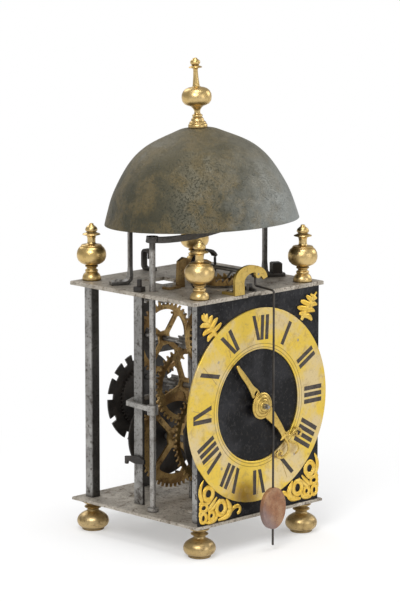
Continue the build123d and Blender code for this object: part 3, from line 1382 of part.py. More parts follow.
STRIP_OUTSIDE = STRIP_X - STRIP_THICKNESS / 2
with BuildPart() as trip_lever:
    trip_plane = Plane(
        origin=(STRIP_OUTSIDE - ROOM, STRIP_Y, DECK + TRIP_UP), x_dir=(0, 1, 0), z_dir=(1, 0, 0)
    )
    with BuildSketch(trip_plane):
        with BuildLine():
            Polyline(
                (-9.0, -2.2), (-9.0, 1.2), (-3.0, 3.4), (4.0, 3.2), (14.2, 1.4), (14.2, -5.0),
                (11.4, -5.0), (10.6, -1.6), (3.0, -3.2), close=True,
            )
        make_face()
    extrude(amount=-LEVER_THICKNESS)
    with BuildSketch(trip_plane.offset(STRIP_THICKNESS + ROOM + 1.0)):
        Circle(PIVOT_RADIUS)
    extrude(amount=-STRIP_THICKNESS - ROOM - 2.0)
keep(trip_lever, "trip_lever")


# ================================================================== fittings on the top plate
with BuildPart() as wall_hook:
    with BuildSketch(Plane(origin=(HOOK_X - 2.5, 0, ROOF), x_dir=(0, 1, 0), z_dir=(1, 0, 0))):
        with BuildLine():
            FilletPolyline(
                (HOOK_Y - 12.0, 1.25),
                (HOOK_Y + 1.0, 1.25),
                (HOOK_Y + 1.0, 17.0),
                (HOOK_Y - 7.0, 17.0),
                (HOOK_Y - 7.0, 10.0),
                radius=3.0,
            )
        trace(line_width=2.5)
    extrude(amount=5.0)
    with BuildSketch(Plane.XY.offset(ROOF_UNDER)):
        with Locations((HOOK_X, HOOK_Y - 8)):
            Circle(LONE_STUD_RADIUS)
    extrude(amount=TOP_THICKNESS + 1.0)
keep(wall_hook, "wall_hook")

with BuildPart() as staple:
    with BuildSketch(Plane(
        origin=(*STAPLE_CENTRE, ROOF),
        x_dir=(cos(radians(STAPLE_ANGLE)), sin(radians(STAPLE_ANGLE)), 0),
        z_dir=(sin(radians(STAPLE_ANGLE)), -cos(radians(STAPLE_ANGLE)), 0),
    ).offset(-STAPLE_BAR / 2)):
        with Locations((0, (STAPLE_HEIGHT - TOP_THICKNESS) / 2)):
            Rectangle(STAPLE_SPAN, STAPLE_HEIGHT + TOP_THICKNESS)
        with Locations((0, (STAPLE_HEIGHT - TOP_THICKNESS) / 2 - STAPLE_BAR)):
            Rectangle(
                STAPLE_SPAN - 2 * STAPLE_BAR, STAPLE_HEIGHT + TOP_THICKNESS, mode=Mode.SUBTRACT
            )
    extrude(amount=STAPLE_BAR)
    top_corners = staple.edges().filter_by(lambda edge: abs(edge.tangent_at(0).Z) < 0.01)
    fillet(top_corners.group_by(Axis.Z)[-1].group_by(SortBy.LENGTH)[0], 0.9)
keep(staple, "staple")

with BuildPart() as hammer_spring:
    spring_x, spring_y = SPRING_SCREW
    with BuildSketch(Plane.XZ.offset(-spring_y).offset(-2.8)):
        with BuildLine():
            Line((spring_x - 4.0, ROOF + 1.1), (spring_x + 3.0, ROOF + 1.1))
        trace(line_width=FOOT_TAB)
        with BuildLine():
            Spline(
                (spring_x - 3.6, ROOF + 1.1),
                (spring_x - 9.0, ROOF + 14.0),
                (spring_x - 3.0, ROOF + 28.0),
                (spring_x + 9.0, ROOF + 31.5),
                (spring_x + 17.0, ROOF + 26.0),
            )
        trace(line_width=2.0)
    extrude(amount=5.6)
    with BuildSketch(Plane.XY.offset(ROOF)):
        with Locations(SPRING_SCREW):
            Circle(SCREW_RADIUS + SEAT)
    extrude(amount=FOOT_TAB + 0.5, mode=Mode.SUBTRACT)
keep(hammer_spring, "hammer_spring")
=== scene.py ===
"""Looks of a lantern clock: metals, numerals, ornaments and the studio round it."""

from math import cos, pi, radians, sin

import bmesh
import bpy
from mathutils import Matrix, Vector


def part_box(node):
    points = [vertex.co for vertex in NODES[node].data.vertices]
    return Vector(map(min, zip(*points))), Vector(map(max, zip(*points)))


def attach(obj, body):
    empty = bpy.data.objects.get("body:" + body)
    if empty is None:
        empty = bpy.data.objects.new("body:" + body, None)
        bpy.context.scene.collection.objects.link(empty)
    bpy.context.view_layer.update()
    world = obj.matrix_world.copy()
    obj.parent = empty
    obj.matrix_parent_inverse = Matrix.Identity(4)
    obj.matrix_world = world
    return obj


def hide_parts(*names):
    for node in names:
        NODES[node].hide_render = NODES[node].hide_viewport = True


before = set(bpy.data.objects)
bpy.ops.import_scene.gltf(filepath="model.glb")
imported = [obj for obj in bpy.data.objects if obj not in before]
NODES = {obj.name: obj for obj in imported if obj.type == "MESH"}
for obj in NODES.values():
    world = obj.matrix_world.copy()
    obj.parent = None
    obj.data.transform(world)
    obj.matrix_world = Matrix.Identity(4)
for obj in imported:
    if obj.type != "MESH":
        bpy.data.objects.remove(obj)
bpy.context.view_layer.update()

bl_info = {
    "name": "Lantern clock looks",
    "version": (1, 0, 0),
    "blender": (4, 5, 0),
    "location": "3D View > Sidebar > Clock",
    "description": "Dresses an open-framed lantern clock and sets its studio",
    "category": "Object",
}

MM = 0.001
RING_LOW, RING_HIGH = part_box("chapter_ring")
DIAL_X = (RING_LOW.x + RING_HIGH.x) / 2
DIAL_Z = (RING_LOW.z + RING_HIGH.z) / 2
DIAL_Y = RING_LOW.y
DECK_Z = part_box("base_plate")[1].z
# The frame's middle; ornaments are drawn from it, with heights counted from the base plate.
SHIFT_X, SHIFT_Y = -0.3 * MM, 8.0 * MM


def colour_property(name, description, default):
    """A colour that the user may change."""
    return bpy.props.FloatVectorProperty(
        name=name, description=description, default=default, size=4, min=0, max=1, subtype="COLOR"
    )


def length_property(name, description, default):
    """A length in metres that the user may change."""
    return bpy.props.FloatProperty(
        name=name, description=description, default=default, min=0, unit="LENGTH", precision=5
    )


class ClockLooks(bpy.types.PropertyGroup):
    """Colours and sizes that the panel shows"""

    gilt: colour_property("Gilt", "Bright gilding of the chapter ring", (0.84, 0.60, 0.10, 1))
    worn_gilt: colour_property("Worn gilt", "Greyish patches of the ring", (0.74, 0.60, 0.36, 1))
    brass: colour_property("Brass", "Turned feet and finials", (0.66, 0.47, 0.19, 1))
    iron: colour_property("Iron", "Plates and pillars", (0.40, 0.36, 0.30, 1))
    bell: colour_property("Bell", "Patina of the bell", (0.055, 0.050, 0.028, 1))
    numeral_inner: length_property("Numeral foot", "Radius of the numerals' feet", 54.5 * MM)
    numeral_outer: length_property("Numeral head", "Radius of the numerals' heads", 75.2 * MM)
    stroke_width: length_property("Stroke width", "Width of a numeral's thick stroke", 3.7 * MM)
    backdrop: bpy.props.FloatProperty(
        name="Backdrop",
        description="Share of plain white in the floor near the clock",
        default=0.38,
        min=0,
        max=1,
    )


# ------------------------------------------------------------------ node helpers
COLOUR, NUMBER = "NodeSocketColor", "NodeSocketFloat"
GREY = (0.5, 0.5, 0.5, 1.0)
# Near black for the painted shade and grime in corners.
SHADE_AND_SOOT = (0.012, 0.009, 0.006, 1)
ENGRAVED = (0.14, 0.08, 0.03, 1)
BUMP_DEPTH = 0.0004
GROUPS = {}


def wire(tree, kind, inputs=None, **settings):
    """Adds a node, sets it, and links or sets its inputs."""
    made = tree.nodes.new(kind)
    for name, value in settings.items():
        setattr(made, name, value)
    for name, value in (inputs or {}).items():
        if isinstance(value, bpy.types.NodeSocket):
            tree.links.new(value, made.inputs[name])
        else:
            made.inputs[name].default_value = value
    return made


def maths(tree, operation, *values, clamp=False):
    """The result of one arithmetic node."""
    given = dict(enumerate(values))
    return wire(tree, "ShaderNodeMath", given, operation=operation, use_clamp=clamp).outputs[0]


def blended(tree, factor, first, second):
    """Two colours mixed by a factor."""
    return wire(tree, "ShaderNodeMix", {0: factor, 6: first, 7: second}, data_type="RGBA").outputs[2]


def smooth_step(tree, value, low, high, start=0.0, end=1.0):
    """A value eased from start to end between low and high."""
    span = {"Value": value, "From Min": low, "From Max": high, "To Min": start, "To Max": end}
    return wire(tree, "ShaderNodeMapRange", span, interpolation_type="SMOOTHSTEP").outputs["Result"]


def opaque(colour):
    """A colour with full alpha."""
    return tuple(colour)[:3] + (1.0,)


def group_tree(name, inputs, outputs):
    """A new node group with named sockets, the sockets of its inputs, and its output node."""
    tree = bpy.data.node_groups.new(name, "ShaderNodeTree")
    for label, kind, default in inputs:
        socket = tree.interface.new_socket(label, in_out="INPUT", socket_type=kind)
        socket.default_value = default
    for label, kind in outputs:
        tree.interface.new_socket(label, in_out="OUTPUT", socket_type=kind)
    return tree, tree.nodes.new("NodeGroupInput").outputs, tree.nodes.new("NodeGroupOutput")


def weathered_group():
    """Patches, stains and specks over one metal, and painted shade with grime that darkens its corners."""
    tree, given, out = group_tree(
        "weathered_metal",
        [
            ("Body", COLOUR, GREY),
            ("Worn", COLOUR, GREY),
            ("Stain", COLOUR, GREY),
            ("Patch Scale", NUMBER, 40.0),
            ("Worn Amount", NUMBER, 0.5),
            ("Stain Amount", NUMBER, 0.3),
            ("Speck Amount", NUMBER, 0.3),
            ("Grime", NUMBER, 0.5),
            ("Grime Reach", NUMBER, 0.004),
            ("Roughness", NUMBER, 0.4),
            ("Roughness Spread", NUMBER, 0.2),
        ],
        [("Color", COLOUR), ("Roughness", NUMBER), ("Height", NUMBER)],
    )
    place = wire(tree, "ShaderNodeTexCoord").outputs["Object"]

    def noise(scale, detail, low, high, roughness=0.6, distortion=0.0):
        """Noise of the piece's own places, eased from 0 at low to 1 at high."""
        shape = {"Scale": scale, "Detail": detail, "Roughness": roughness, "Distortion": distortion}
        made = wire(tree, "ShaderNodeTexNoise", {"Vector": place, **shape})
        return smooth_step(tree, made.outputs["Fac"], low, high)

    def times(a, b):
        """A product kept between 0 and 1."""
        return maths(tree, "MULTIPLY", a, b, clamp=True)

    stain_scale = maths(tree, "MULTIPLY", given["Patch Scale"], 3.7)
    speck_scale = maths(tree, "MULTIPLY", given["Patch Scale"], 14.0)
    patches = noise(given["Patch Scale"], 5.0, 0.42, 0.62, 0.62, 0.3)
    stains = noise(stain_scale, 6.0, 0.50, 0.70, 0.7, 0.6)
    specks = noise(speck_scale, 3.0, 0.54, 0.68, 0.6)
    grain = noise(speck_scale, 4.0, 0.2, 0.8, 0.7)
    # Ambient occlusion finds the corners and recesses, which take painted shade mixed with grime.
    openness = wire(
        tree, "ShaderNodeAmbientOcclusion", {"Distance": given["Grime Reach"]}, samples=6, only_local=False
    ).outputs["AO"]
    corner_shade = smooth_step(tree, openness, 0.9, 0.35)
    colour = blended(tree, times(patches, given["Worn Amount"]), given["Body"], given["Worn"])
    colour = blended(tree, times(stains, given["Stain Amount"]), colour, given["Stain"])
    colour = blended(tree, times(specks, given["Speck Amount"]), colour, given["Stain"])
    # The colour of that painted shade and grime in the corners.
    shade_and_dirt = blended(tree, 0.75, given["Stain"], SHADE_AND_SOOT)
    colour = blended(tree, times(corner_shade, given["Grime"]), colour, shade_and_dirt)
    rough = maths(tree, "ADD", given["Roughness"], maths(tree, "MULTIPLY", stains, given["Roughness Spread"]))
    rough = maths(tree, "ADD", rough, times(corner_shade, times(given["Grime"], 0.3)), clamp=True)
    height = maths(tree, "SUBTRACT", maths(tree, "MULTIPLY_ADD", grain, patches, 0.4), specks)
    tree.links.new(colour, out.inputs["Color"])
    tree.links.new(rough, out.inputs["Roughness"])
    tree.links.new(height, out.inputs["Height"])
    return tree


def disc_group():
    """A circle engraved on a disc that faces along Y."""
    tree, given, out = group_tree(
        "disc_line",
        [
            ("Centre X", NUMBER, 0.0), ("Centre Z", NUMBER, 0.0),
            ("Radius", NUMBER, 0.05), ("Half Width", NUMBER, 0.0005),
        ],
        [("Line", NUMBER)],
    )
    place = wire(tree, "ShaderNodeTexCoord").outputs["Object"]
    apart = wire(tree, "ShaderNodeSeparateXYZ", {"Vector": place}).outputs
    across = maths(tree, "SUBTRACT", apart["X"], given["Centre X"])
    up = maths(tree, "SUBTRACT", apart["Z"], given["Centre Z"])
    squares = maths(tree, "ADD", maths(tree, "MULTIPLY", across, across), maths(tree, "MULTIPLY", up, up))
    away = maths(tree, "ABSOLUTE", maths(tree, "SUBTRACT", maths(tree, "SQRT", squares), given["Radius"]))
    line = maths(tree, "SUBTRACT", 1.0, maths(tree, "DIVIDE", away, given["Half Width"]), clamp=True)
    tree.links.new(line, out.inputs["Line"])
    return tree


def side_group():
    """How far a place or a face's direction lies along a vector, from 0 to 1, with a ragged border."""
    tree, given, out = group_tree(
        "side_mask",
        [
            ("By Direction", NUMBER, 0.0), ("X", NUMBER, 0.0), ("Y", NUMBER, 0.0), ("Z", NUMBER, 0.0),
            ("Low", NUMBER, 0.0), ("High", NUMBER, 1.0), ("Amount", NUMBER, 1.0),
        ],
        [("Mask", NUMBER)],
    )
    place = wire(tree, "ShaderNodeTexCoord").outputs["Object"]
    face = wire(tree, "ShaderNodeNewGeometry").outputs["Normal"]
    toward = wire(tree, "ShaderNodeCombineXYZ", {axis: given[axis] for axis in "XYZ"}).outputs[0]
    by_place, by_face = (
        wire(tree, "ShaderNodeVectorMath", {0: source, 1: toward}, operation="DOT_PRODUCT").outputs["Value"]
        for source in (place, face)
    )
    chosen = wire(
        tree, "ShaderNodeMix", {0: given["By Direction"], 2: by_place, 3: by_face}, data_type="FLOAT"
    ).outputs[0]
    ragged = wire(
        tree, "ShaderNodeTexNoise", {"Vector": place, "Scale": 60.0, "Detail": 5.0, "Roughness": 0.7}
    )
    span = maths(tree, "SUBTRACT", given["High"], given["Low"])
    waver = maths(tree, "SUBTRACT", ragged.outputs["Fac"], 0.5)
    waver = maths(tree, "MULTIPLY_ADD", waver, span, chosen)
    ramp = smooth_step(tree, waver, given["Low"], given["High"])
    tree.links.new(maths(tree, "MULTIPLY", ramp, given["Amount"], clamp=True), out.inputs["Mask"])
    return tree


def metal(name, body, worn, stain, metallic=1.0, bump=0.1, rings=(), sides=(), specular=0.5, **values):
    """A weathered metal with painted shade in its corners, with its own colours and amounts.

    rings are engraved circles, each (x, z, radius, half width). sides are tints, each
    (colour, 0 by place or 1 by the face's direction, vector, low, high, amount).
    """
    made = bpy.data.materials.new(name)
    made.use_nodes = True
    tree = made.node_tree
    shader = next(n for n in tree.nodes if n.type == "BSDF_PRINCIPLED")
    amounts = {label.replace("_", " ").title(): value for label, value in values.items()}
    weather = wire(
        tree,
        "ShaderNodeGroup",
        {"Body": opaque(body), "Worn": opaque(worn), "Stain": opaque(stain), **amounts},
        node_tree=GROUPS["weathered"],
    )
    colour, height = weather.outputs["Color"], weather.outputs["Height"]
    for x, z, radius, half_width in rings:
        circle = {"Centre X": x, "Centre Z": z, "Radius": radius, "Half Width": half_width}
        line = wire(tree, "ShaderNodeGroup", circle, node_tree=GROUPS["disc"]).outputs["Line"]
        colour = blended(tree, maths(tree, "MULTIPLY", line, 0.85), colour, ENGRAVED)
        height = maths(tree, "SUBTRACT", height, maths(tree, "MULTIPLY", line, 3.0))
    for tint, by_direction, (x, y, z), low, high, amount in sides:
        side = {"By Direction": by_direction, "X": x, "Y": y, "Z": z}
        side.update({"Low": low, "High": high, "Amount": amount})
        mask = wire(tree, "ShaderNodeGroup", side, node_tree=GROUPS["side"]).outputs["Mask"]
        colour = blended(tree, mask, colour, opaque(tint))
    lift = wire(tree, "ShaderNodeBump", {"Height": height, "Strength": bump, "Distance": BUMP_DEPTH})
    tree.links.new(colour, shader.inputs["Base Color"])
    tree.links.new(weather.outputs["Roughness"], shader.inputs["Roughness"])
    tree.links.new(lift.outputs[0], shader.inputs["Normal"])
    shader.inputs["Metallic"].default_value = metallic
    shader.inputs["Specular IOR Level"].default_value = specular
    made.diffuse_color = opaque(body)
    return made


def dress(material, *names):
    """Gives CAD nodes a material."""
    for name in names:
        slots = NODES[name].data.materials
        slots.clear()
        slots.append(material)


def corners(kind):
    """The names of the four nodes of a kind, one at each corner."""
    return [f"{kind}_{end}_{side}" for end in ("front", "back") for side in ("left", "right")]


# ------------------------------------------------------------------ shape helpers
def deselect():
    """Leaves nothing selected, in object mode."""
    if bpy.context.object and bpy.context.object.mode != "OBJECT":
        bpy.ops.object.mode_set(mode="OBJECT")
    bpy.ops.object.select_all(action="DESELECT")


def only(piece):
    """Makes one object selected and active."""
    deselect()
    piece.select_set(True)
    bpy.context.view_layer.objects.active = piece


def apply_place(piece):
    """Puts a piece's place into its mesh."""
    only(piece)
    bpy.ops.object.transform_apply(location=True, rotation=True, scale=True)


def apply_all(piece):
    """Applies every modifier of a piece."""
    only(piece)
    for name in [modifier.name for modifier in piece.modifiers]:
        bpy.ops.object.modifier_apply(modifier=name)


def bevel(piece, width, segments=2, angle=40):
    """Rounds a piece's edges."""
    modifier = piece.modifiers.new("edges", "BEVEL")
    modifier.width, modifier.segments = width, segments
    modifier.limit_method, modifier.angle_limit = "ANGLE", radians(angle)
    modifier.use_clamp_overlap = True
    apply_all(piece)


def outward(piece):
    """Merges doubles and turns the faces outwards."""
    only(piece)
    bpy.ops.object.mode_set(mode="EDIT")
    bpy.ops.mesh.select_all(action="SELECT")
    bpy.ops.mesh.remove_doubles(threshold=1e-6)
    bpy.ops.mesh.normals_make_consistent(inside=False)
    bpy.ops.object.mode_set(mode="OBJECT")


def spun(name, profile, centre, axis="Y", steps=48, lean=None, angle=40):
    """Turns a profile of (radius, along) points round an axis through centre.

    The axis is Y or Z, and lean turns Z towards another direction.
    """
    upright = axis == "Z"
    deselect()
    bpy.ops.mesh.primitive_plane_add(size=1, location=(0, 0, 0))
    piece = bpy.context.object
    piece.name = name
    bpy.ops.object.mode_set(mode="EDIT")
    bpy.ops.mesh.select_all(action="SELECT")
    bpy.ops.mesh.delete(type="ONLY_FACE")
    bpy.ops.object.mode_set(mode="OBJECT")
    shape = bmesh.new()
    places = [(radius, 0, along) if upright else (radius, along, 0) for radius, along in profile]
    outline = [shape.verts.new(place) for place in places]
    for pair in zip(outline, outline[1:]):
        shape.edges.new(pair)
    shape.to_mesh(piece.data)
    shape.free()
    only(piece)
    bpy.ops.object.mode_set(mode="EDIT")
    bpy.ops.mesh.select_all(action="SELECT")
    along_axis = (0, 0, 1) if upright else (0, 1, 0)
    bpy.ops.mesh.spin(steps=steps, angle=2 * pi, center=(0, 0, 0), axis=along_axis, dupli=False)
    bpy.ops.object.mode_set(mode="OBJECT")
    outward(piece)
    if lean is not None:
        piece.rotation_mode = "QUATERNION"
        piece.rotation_quaternion = Vector((0, 0, 1)).rotation_difference(Vector(lean))
    piece.location = centre
    apply_place(piece)
    bpy.ops.object.shade_smooth_by_angle(angle=radians(angle))
    return piece


def merged(name, pieces):
    """Joins pieces into one."""
    deselect()
    for piece in pieces:
        piece.select_set(True)
    bpy.context.view_layer.objects.active = pieces[0]
    bpy.ops.object.join()
    made = bpy.context.object
    made.name = made.data.name = name
    return made


def copy_of(piece, name):
    """A copy with its own mesh."""
    made = piece.copy()
    made.data = piece.data.copy()
    made.name = made.data.name = name
    bpy.context.scene.collection.objects.link(made)
    return made


def own_copy(node, name):
    """A CAD node's shape as a new piece with merged corners, joined flat faces and no normals of its own."""
    made = copy_of(NODES[node], name)
    made.parent = None
    for key in list(made.keys()):
        del made[key]
    only(made)
    bpy.ops.mesh.customdata_custom_splitnormals_clear()
    outward(made)
    bpy.ops.object.mode_set(mode="EDIT")
    bpy.ops.mesh.select_all(action="SELECT")
    bpy.ops.mesh.dissolve_limited(angle_limit=radians(1.0))
    bpy.ops.object.mode_set(mode="OBJECT")
    return made


# ------------------------------------------------------------------ finishes
# The circles cut in the chapter ring: (radius, half width).
ENGRAVED_RINGS = ((48.6 * MM, 0.45 * MM), (51.4 * MM, 0.4 * MM))


def dress_gilding(looks):
    """The chapter ring and the castings in its corners."""
    gilt = metal(
        "gilt_ring", looks.gilt, looks.worn_gilt, (0.42, 0.30, 0.16), patch_scale=34.0, worn_amount=0.85,
        stain_amount=0.35, speck_amount=0.25, grime=0.5, grime_reach=0.003, roughness=0.38,
        roughness_spread=0.15, bump=0.08,
        rings=[(DIAL_X, DIAL_Z, radius, half_width) for radius, half_width in ENGRAVED_RINGS],
    )
    dress(gilt, "chapter_ring")
    cast = metal(
        "gilt_castings", (0.86, 0.56, 0.09), (0.95, 0.70, 0.20), (0.30, 0.16, 0.03), patch_scale=120.0,
        worn_amount=0.6, stain_amount=0.4, speck_amount=0.3, grime=0.9, grime_reach=0.002,
        roughness=0.32, roughness_spread=0.2, bump=0.4,
    )
    dress(cast, "spandrels")


def dress_brass(looks):
    """Finials, feet, the verge's two cocks, the hand and the wheels."""
    brass = metal(
        "turned_brass", looks.brass, (0.74, 0.56, 0.29), (0.19, 0.11, 0.045), patch_scale=60.0,
        worn_amount=0.5, stain_amount=0.35, speck_amount=0.16, grime=0.9, grime_reach=0.003,
        roughness=0.33, roughness_spread=0.25, bump=0.15,
    )
    dress(brass, *corners("finial"), "bell_finial")
    foot = metal(
        "foot_brass", (0.50, 0.36, 0.16), (0.64, 0.49, 0.26), (0.13, 0.075, 0.035), patch_scale=60.0,
        worn_amount=0.6, stain_amount=0.65, speck_amount=0.35, grime=0.6, grime_reach=0.003,
        roughness=0.36, roughness_spread=0.25, bump=0.2,
    )
    dress(foot, *corners("foot"))
    plain = metal(
        "yellow_brass", (0.66, 0.46, 0.12), (0.74, 0.56, 0.20), (0.24, 0.14, 0.05), patch_scale=70.0,
        worn_amount=0.5, stain_amount=0.5, speck_amount=0.35, grime=0.6, grime_reach=0.003,
        roughness=0.36, roughness_spread=0.2, bump=0.2,
    )
    dress(plain, "front_cock", "hour_hand")
    dull = metal(
        "dull_brass", (0.27, 0.17, 0.065), (0.42, 0.29, 0.12), (0.08, 0.05, 0.025), metallic=0.8,
        patch_scale=60.0, worn_amount=0.7, stain_amount=0.7, speck_amount=0.5, grime=0.7, grime_reach=0.004,
        roughness=0.42, roughness_spread=0.2, bump=0.3,
    )
    dress(dull, "rear_cock")
    wheel = metal(
        "wheel_brass", (0.26, 0.155, 0.055), (0.55, 0.37, 0.14), (0.045, 0.03, 0.016), metallic=0.85,
        patch_scale=55.0, worn_amount=0.8, stain_amount=0.8, speck_amount=0.5, grime=0.8,
        grime_reach=0.004, roughness=0.36, roughness_spread=0.25, bump=0.3,
    )
    dress(
        wheel, "going_great_wheel", "going_second_wheel", "contrate_wheel", "crown_wheel", "hour_wheel",
        "strike_great_wheel", "strike_second_wheel", "strike_third_wheel",
    )


def dress_iron(looks):
    """Plates, pillars and bars, the black pieces, arbors and levers."""
    iron = metal(
        "grey_iron", looks.iron, (0.62, 0.57, 0.49), (0.085, 0.05, 0.026), metallic=0.5, patch_scale=42.0,
        worn_amount=0.6, stain_amount=0.8, speck_amount=0.85, grime=0.6, grime_reach=0.005,
        roughness=0.46, roughness_spread=0.25, bump=0.35,
    )
    dress(iron, "base_plate", "top_plate")
    pillar = metal(
        "pillar_iron", (0.27, 0.262, 0.25), (0.43, 0.42, 0.40), (0.065, 0.05, 0.04), metallic=0.7,
        patch_scale=30.0, worn_amount=0.9, stain_amount=0.75, speck_amount=0.85, grime=0.7,
        grime_reach=0.005, roughness=0.44, roughness_spread=0.22, bump=0.6,
        # Painted shade: the faces that look along -Y are darkened almost to black.
        sides=(((0.028, 0.025, 0.022), 1.0, (0.0, -1.0, 0.0), 0.35, 0.9, 0.82),),
    )
    dress(
        pillar, *corners("pillar"), "front_bar", "middle_bar", "rear_bar", "side_strip", "bell_strap",
        "potence",
    )
    black = metal(
        "black_iron", (0.035, 0.032, 0.03), (0.075, 0.068, 0.06), (0.05, 0.03, 0.02), metallic=0.55,
        patch_scale=45.0, worn_amount=0.8, stain_amount=0.5, speck_amount=0.5, grime=0.5,
        grime_reach=0.004, roughness=0.42, roughness_spread=0.2, bump=0.3,
    )
    dress(
        black, "count_wheel", "going_pulley", "strike_pulley", "wall_hook", "staple", "hammer_spring",
        "bar_wedge", "square_nuts", "trip_lever", "pendulum_rod",
    )
    steel = metal(
        "dull_steel", (0.34, 0.33, 0.31), (0.50, 0.48, 0.45), (0.10, 0.07, 0.05), metallic=0.85,
        patch_scale=60.0, worn_amount=0.7, stain_amount=0.6, speck_amount=0.4, grime=0.6,
        grime_reach=0.003, roughness=0.38, roughness_spread=0.25, bump=0.25,
    )
    dress(
        steel, "screws", "fly", "verge_staff", "detent", "going_great_arbor", "going_second_arbor",
        "contrate_arbor", "crown_arbor", "hour_arbor", "strike_great_arbor", "strike_second_arbor",
        "strike_third_arbor",
    )
    rod = metal(
        "hammer_iron", (0.34, 0.33, 0.31), (0.50, 0.48, 0.45), (0.08, 0.06, 0.045), metallic=0.75,
        patch_scale=60.0, worn_amount=0.7, stain_amount=0.6, speck_amount=0.8, grime=0.6,
        grime_reach=0.003, roughness=0.38, roughness_spread=0.25, bump=0.4,
        sides=(((0.05, 0.045, 0.04), 0.0, (0.0, 0.0, 1.0), 0.246, 0.252, 0.85),),
    )
    dress(rod, "hammer")


def dress_bell(looks):
    """The bell, brown on its left and blue grey on its right, with painted light on its top."""
    bell = metal(
        "bell_patina", looks.bell, (0.135, 0.098, 0.036), (0.035, 0.04, 0.028), metallic=0.3,
        patch_scale=52.0, worn_amount=0.75, stain_amount=0.6, speck_amount=0.9, grime=0.3, grime_reach=0.01,
        roughness=0.47, roughness_spread=0.2, bump=1.0,
        sides=(((0.30, 0.32, 0.31), 0.0, (0.70, -0.71, 0.0), -0.005, 0.10, 0.8),
               # Painted light: the bell is made lighter towards its top, as if lit from above.
               ((0.16, 0.135, 0.075), 0.0, (0.0, 0.0, 1.0), 0.27, 0.36, 0.5)),
    )
    dress(bell, "bell")


def dress_dial_and_bob():
    """The painted dial and the rusty bob."""
    dial = metal(
        "black_dial", (0.005, 0.005, 0.006), (0.022, 0.022, 0.025), (0.085, 0.08, 0.075), metallic=0.0,
        patch_scale=30.0, worn_amount=0.9, stain_amount=0.10, speck_amount=0.22, grime=0.2, specular=0.16,
        grime_reach=0.002, roughness=0.4, roughness_spread=0.2, bump=0.5,
    )
    dress(dial, "dial_plate")
    bob = metal(
        "rusty_bob", (0.30, 0.135, 0.065), (0.42, 0.25, 0.14), (0.12, 0.055, 0.035), metallic=0.35,
        patch_scale=70.0, worn_amount=0.7, stain_amount=0.5, speck_amount=0.5, grime=0.3,
        grime_reach=0.003, roughness=0.46, roughness_spread=0.2, bump=0.4,
        sides=(((0.20, 0.20, 0.24), 0.0, (-0.75, 0.0, -0.66), -0.021, -0.008, 0.5),),
    )
    dress(bob, "pendulum_bob")


class CLOCK_OT_finishes(bpy.types.Operator):
    """Gives every part of the frame its metal"""

    bl_idname = "clock.finishes"
    bl_label = "Metals and paint"

    def execute(self, context):
        looks = context.scene.clock_looks
        GROUPS["weathered"] = weathered_group()
        GROUPS["disc"] = disc_group()
        GROUPS["side"] = side_group()
        dress_gilding(looks)
        dress_brass(looks)
        dress_iron(looks)
        dress_bell(looks)
        dress_dial_and_bob()
        return {"FINISHED"}


# ------------------------------------------------------------------ numerals
# Each letter's strokes: (place of its head, place of its foot) across the letter's middle, in millimetres.
THICK = {"I": ((0.0, 0.0),), "V": ((-3.6, 1.4),), "X": ((-3.4, 3.4),)}
THIN = {"I": (), "V": ((3.8, 1.4),), "X": ((3.2, -3.2),)}
ADVANCE = {"I": 5.6, "V": 8.6, "X": 8.4}
STROKE_DEPTH = 0.3 * MM
HAIRLINE = 0.55 * MM
STROKE_ROUNDING = 0.12 * MM
# The ring's XII stands a little off its place.
TWELVE_OFF = 2.4
HOURS = ("XII", "I", "II", "III", "IIII", "V", "VI", "VII", "VIII", "IX", "X", "XI")


def numeral_strokes(strokes_of):
    """Each stroke of every numeral as (hour, place of its head, place of its foot), in millimetres."""
    for hour, letters in enumerate(HOURS):
        at = -sum(ADVANCE[letter] for letter in letters) / 2
        for letter in letters:
            at += ADVANCE[letter] / 2
            for head, foot in strokes_of[letter]:
                yield hour, at + head, at + foot
            at += ADVANCE[letter] / 2


def stroke_place(hour, head_x, foot_x, inner, outer):
    """Where a slab of height 1 goes to become a stroke that leans from its foot to its head."""
    tall = outer - inner
    turn = Matrix.Rotation(radians(30 * hour + (TWELVE_OFF if hour == 0 else 0.0)), 4, "Y")
    lean = Matrix.Identity(4)
    lean[0][2] = (head_x - foot_x) / tall
    middle = Matrix.Translation(((head_x + foot_x) / 2, 0, (inner + outer) / 2))
    dial = Matrix.Translation((DIAL_X, DIAL_Y, DIAL_Z))
    return dial @ turn @ middle @ lean @ Matrix.Diagonal((1, 1, tall, 1))


class CLOCK_OT_numerals(bpy.types.Operator):
    """Lays the hour numerals' strokes in the ring"""

    bl_idname = "clock.numerals"
    bl_label = "Numerals"

    def execute(self, context):
        looks = context.scene.clock_looks
        wax = metal(
            "numeral_wax", (0.035, 0.028, 0.024), (0.075, 0.062, 0.055), (0.16, 0.11, 0.05), metallic=0.1,
            patch_scale=160.0, worn_amount=0.7, stain_amount=0.25, speck_amount=0.35, grime=0.0,
            roughness=0.6, roughness_spread=0.2, bump=0.3,
        )
        faint = metal(
            "faint_stroke", (0.50, 0.34, 0.12), (0.60, 0.44, 0.18), (0.30, 0.2, 0.09), metallic=0.8,
            patch_scale=160.0, worn_amount=0.7, stain_amount=0.4, speck_amount=0.35, grime=0.0,
            roughness=0.5, roughness_spread=0.2, bump=0.3,
        )
        for kind, stroke_width, material, label in (
            (THICK, looks.stroke_width, wax, "numerals"),
            (THIN, HAIRLINE, faint, "numeral_hairlines"),
        ):
            deselect()
            bpy.ops.mesh.primitive_cube_add(size=1)
            slab = bpy.context.object
            slab.scale = (stroke_width, STROKE_DEPTH, 1.0)
            slab.name = "stroke"
            apply_place(slab)
            strokes = []
            for hour, head, foot in numeral_strokes(kind):
                stroke = copy_of(slab, "stroke_copy")
                radii = looks.numeral_inner, looks.numeral_outer
                stroke.data.transform(stroke_place(hour, head * MM, foot * MM, *radii))
                strokes.append(stroke)
            bpy.data.objects.remove(slab)
            made = merged(label, strokes)
            outward(made)
            bevel(made, STROKE_ROUNDING, 2)
            made.data.materials.append(material)
            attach(made, "frame")
        return {"FINISHED"}


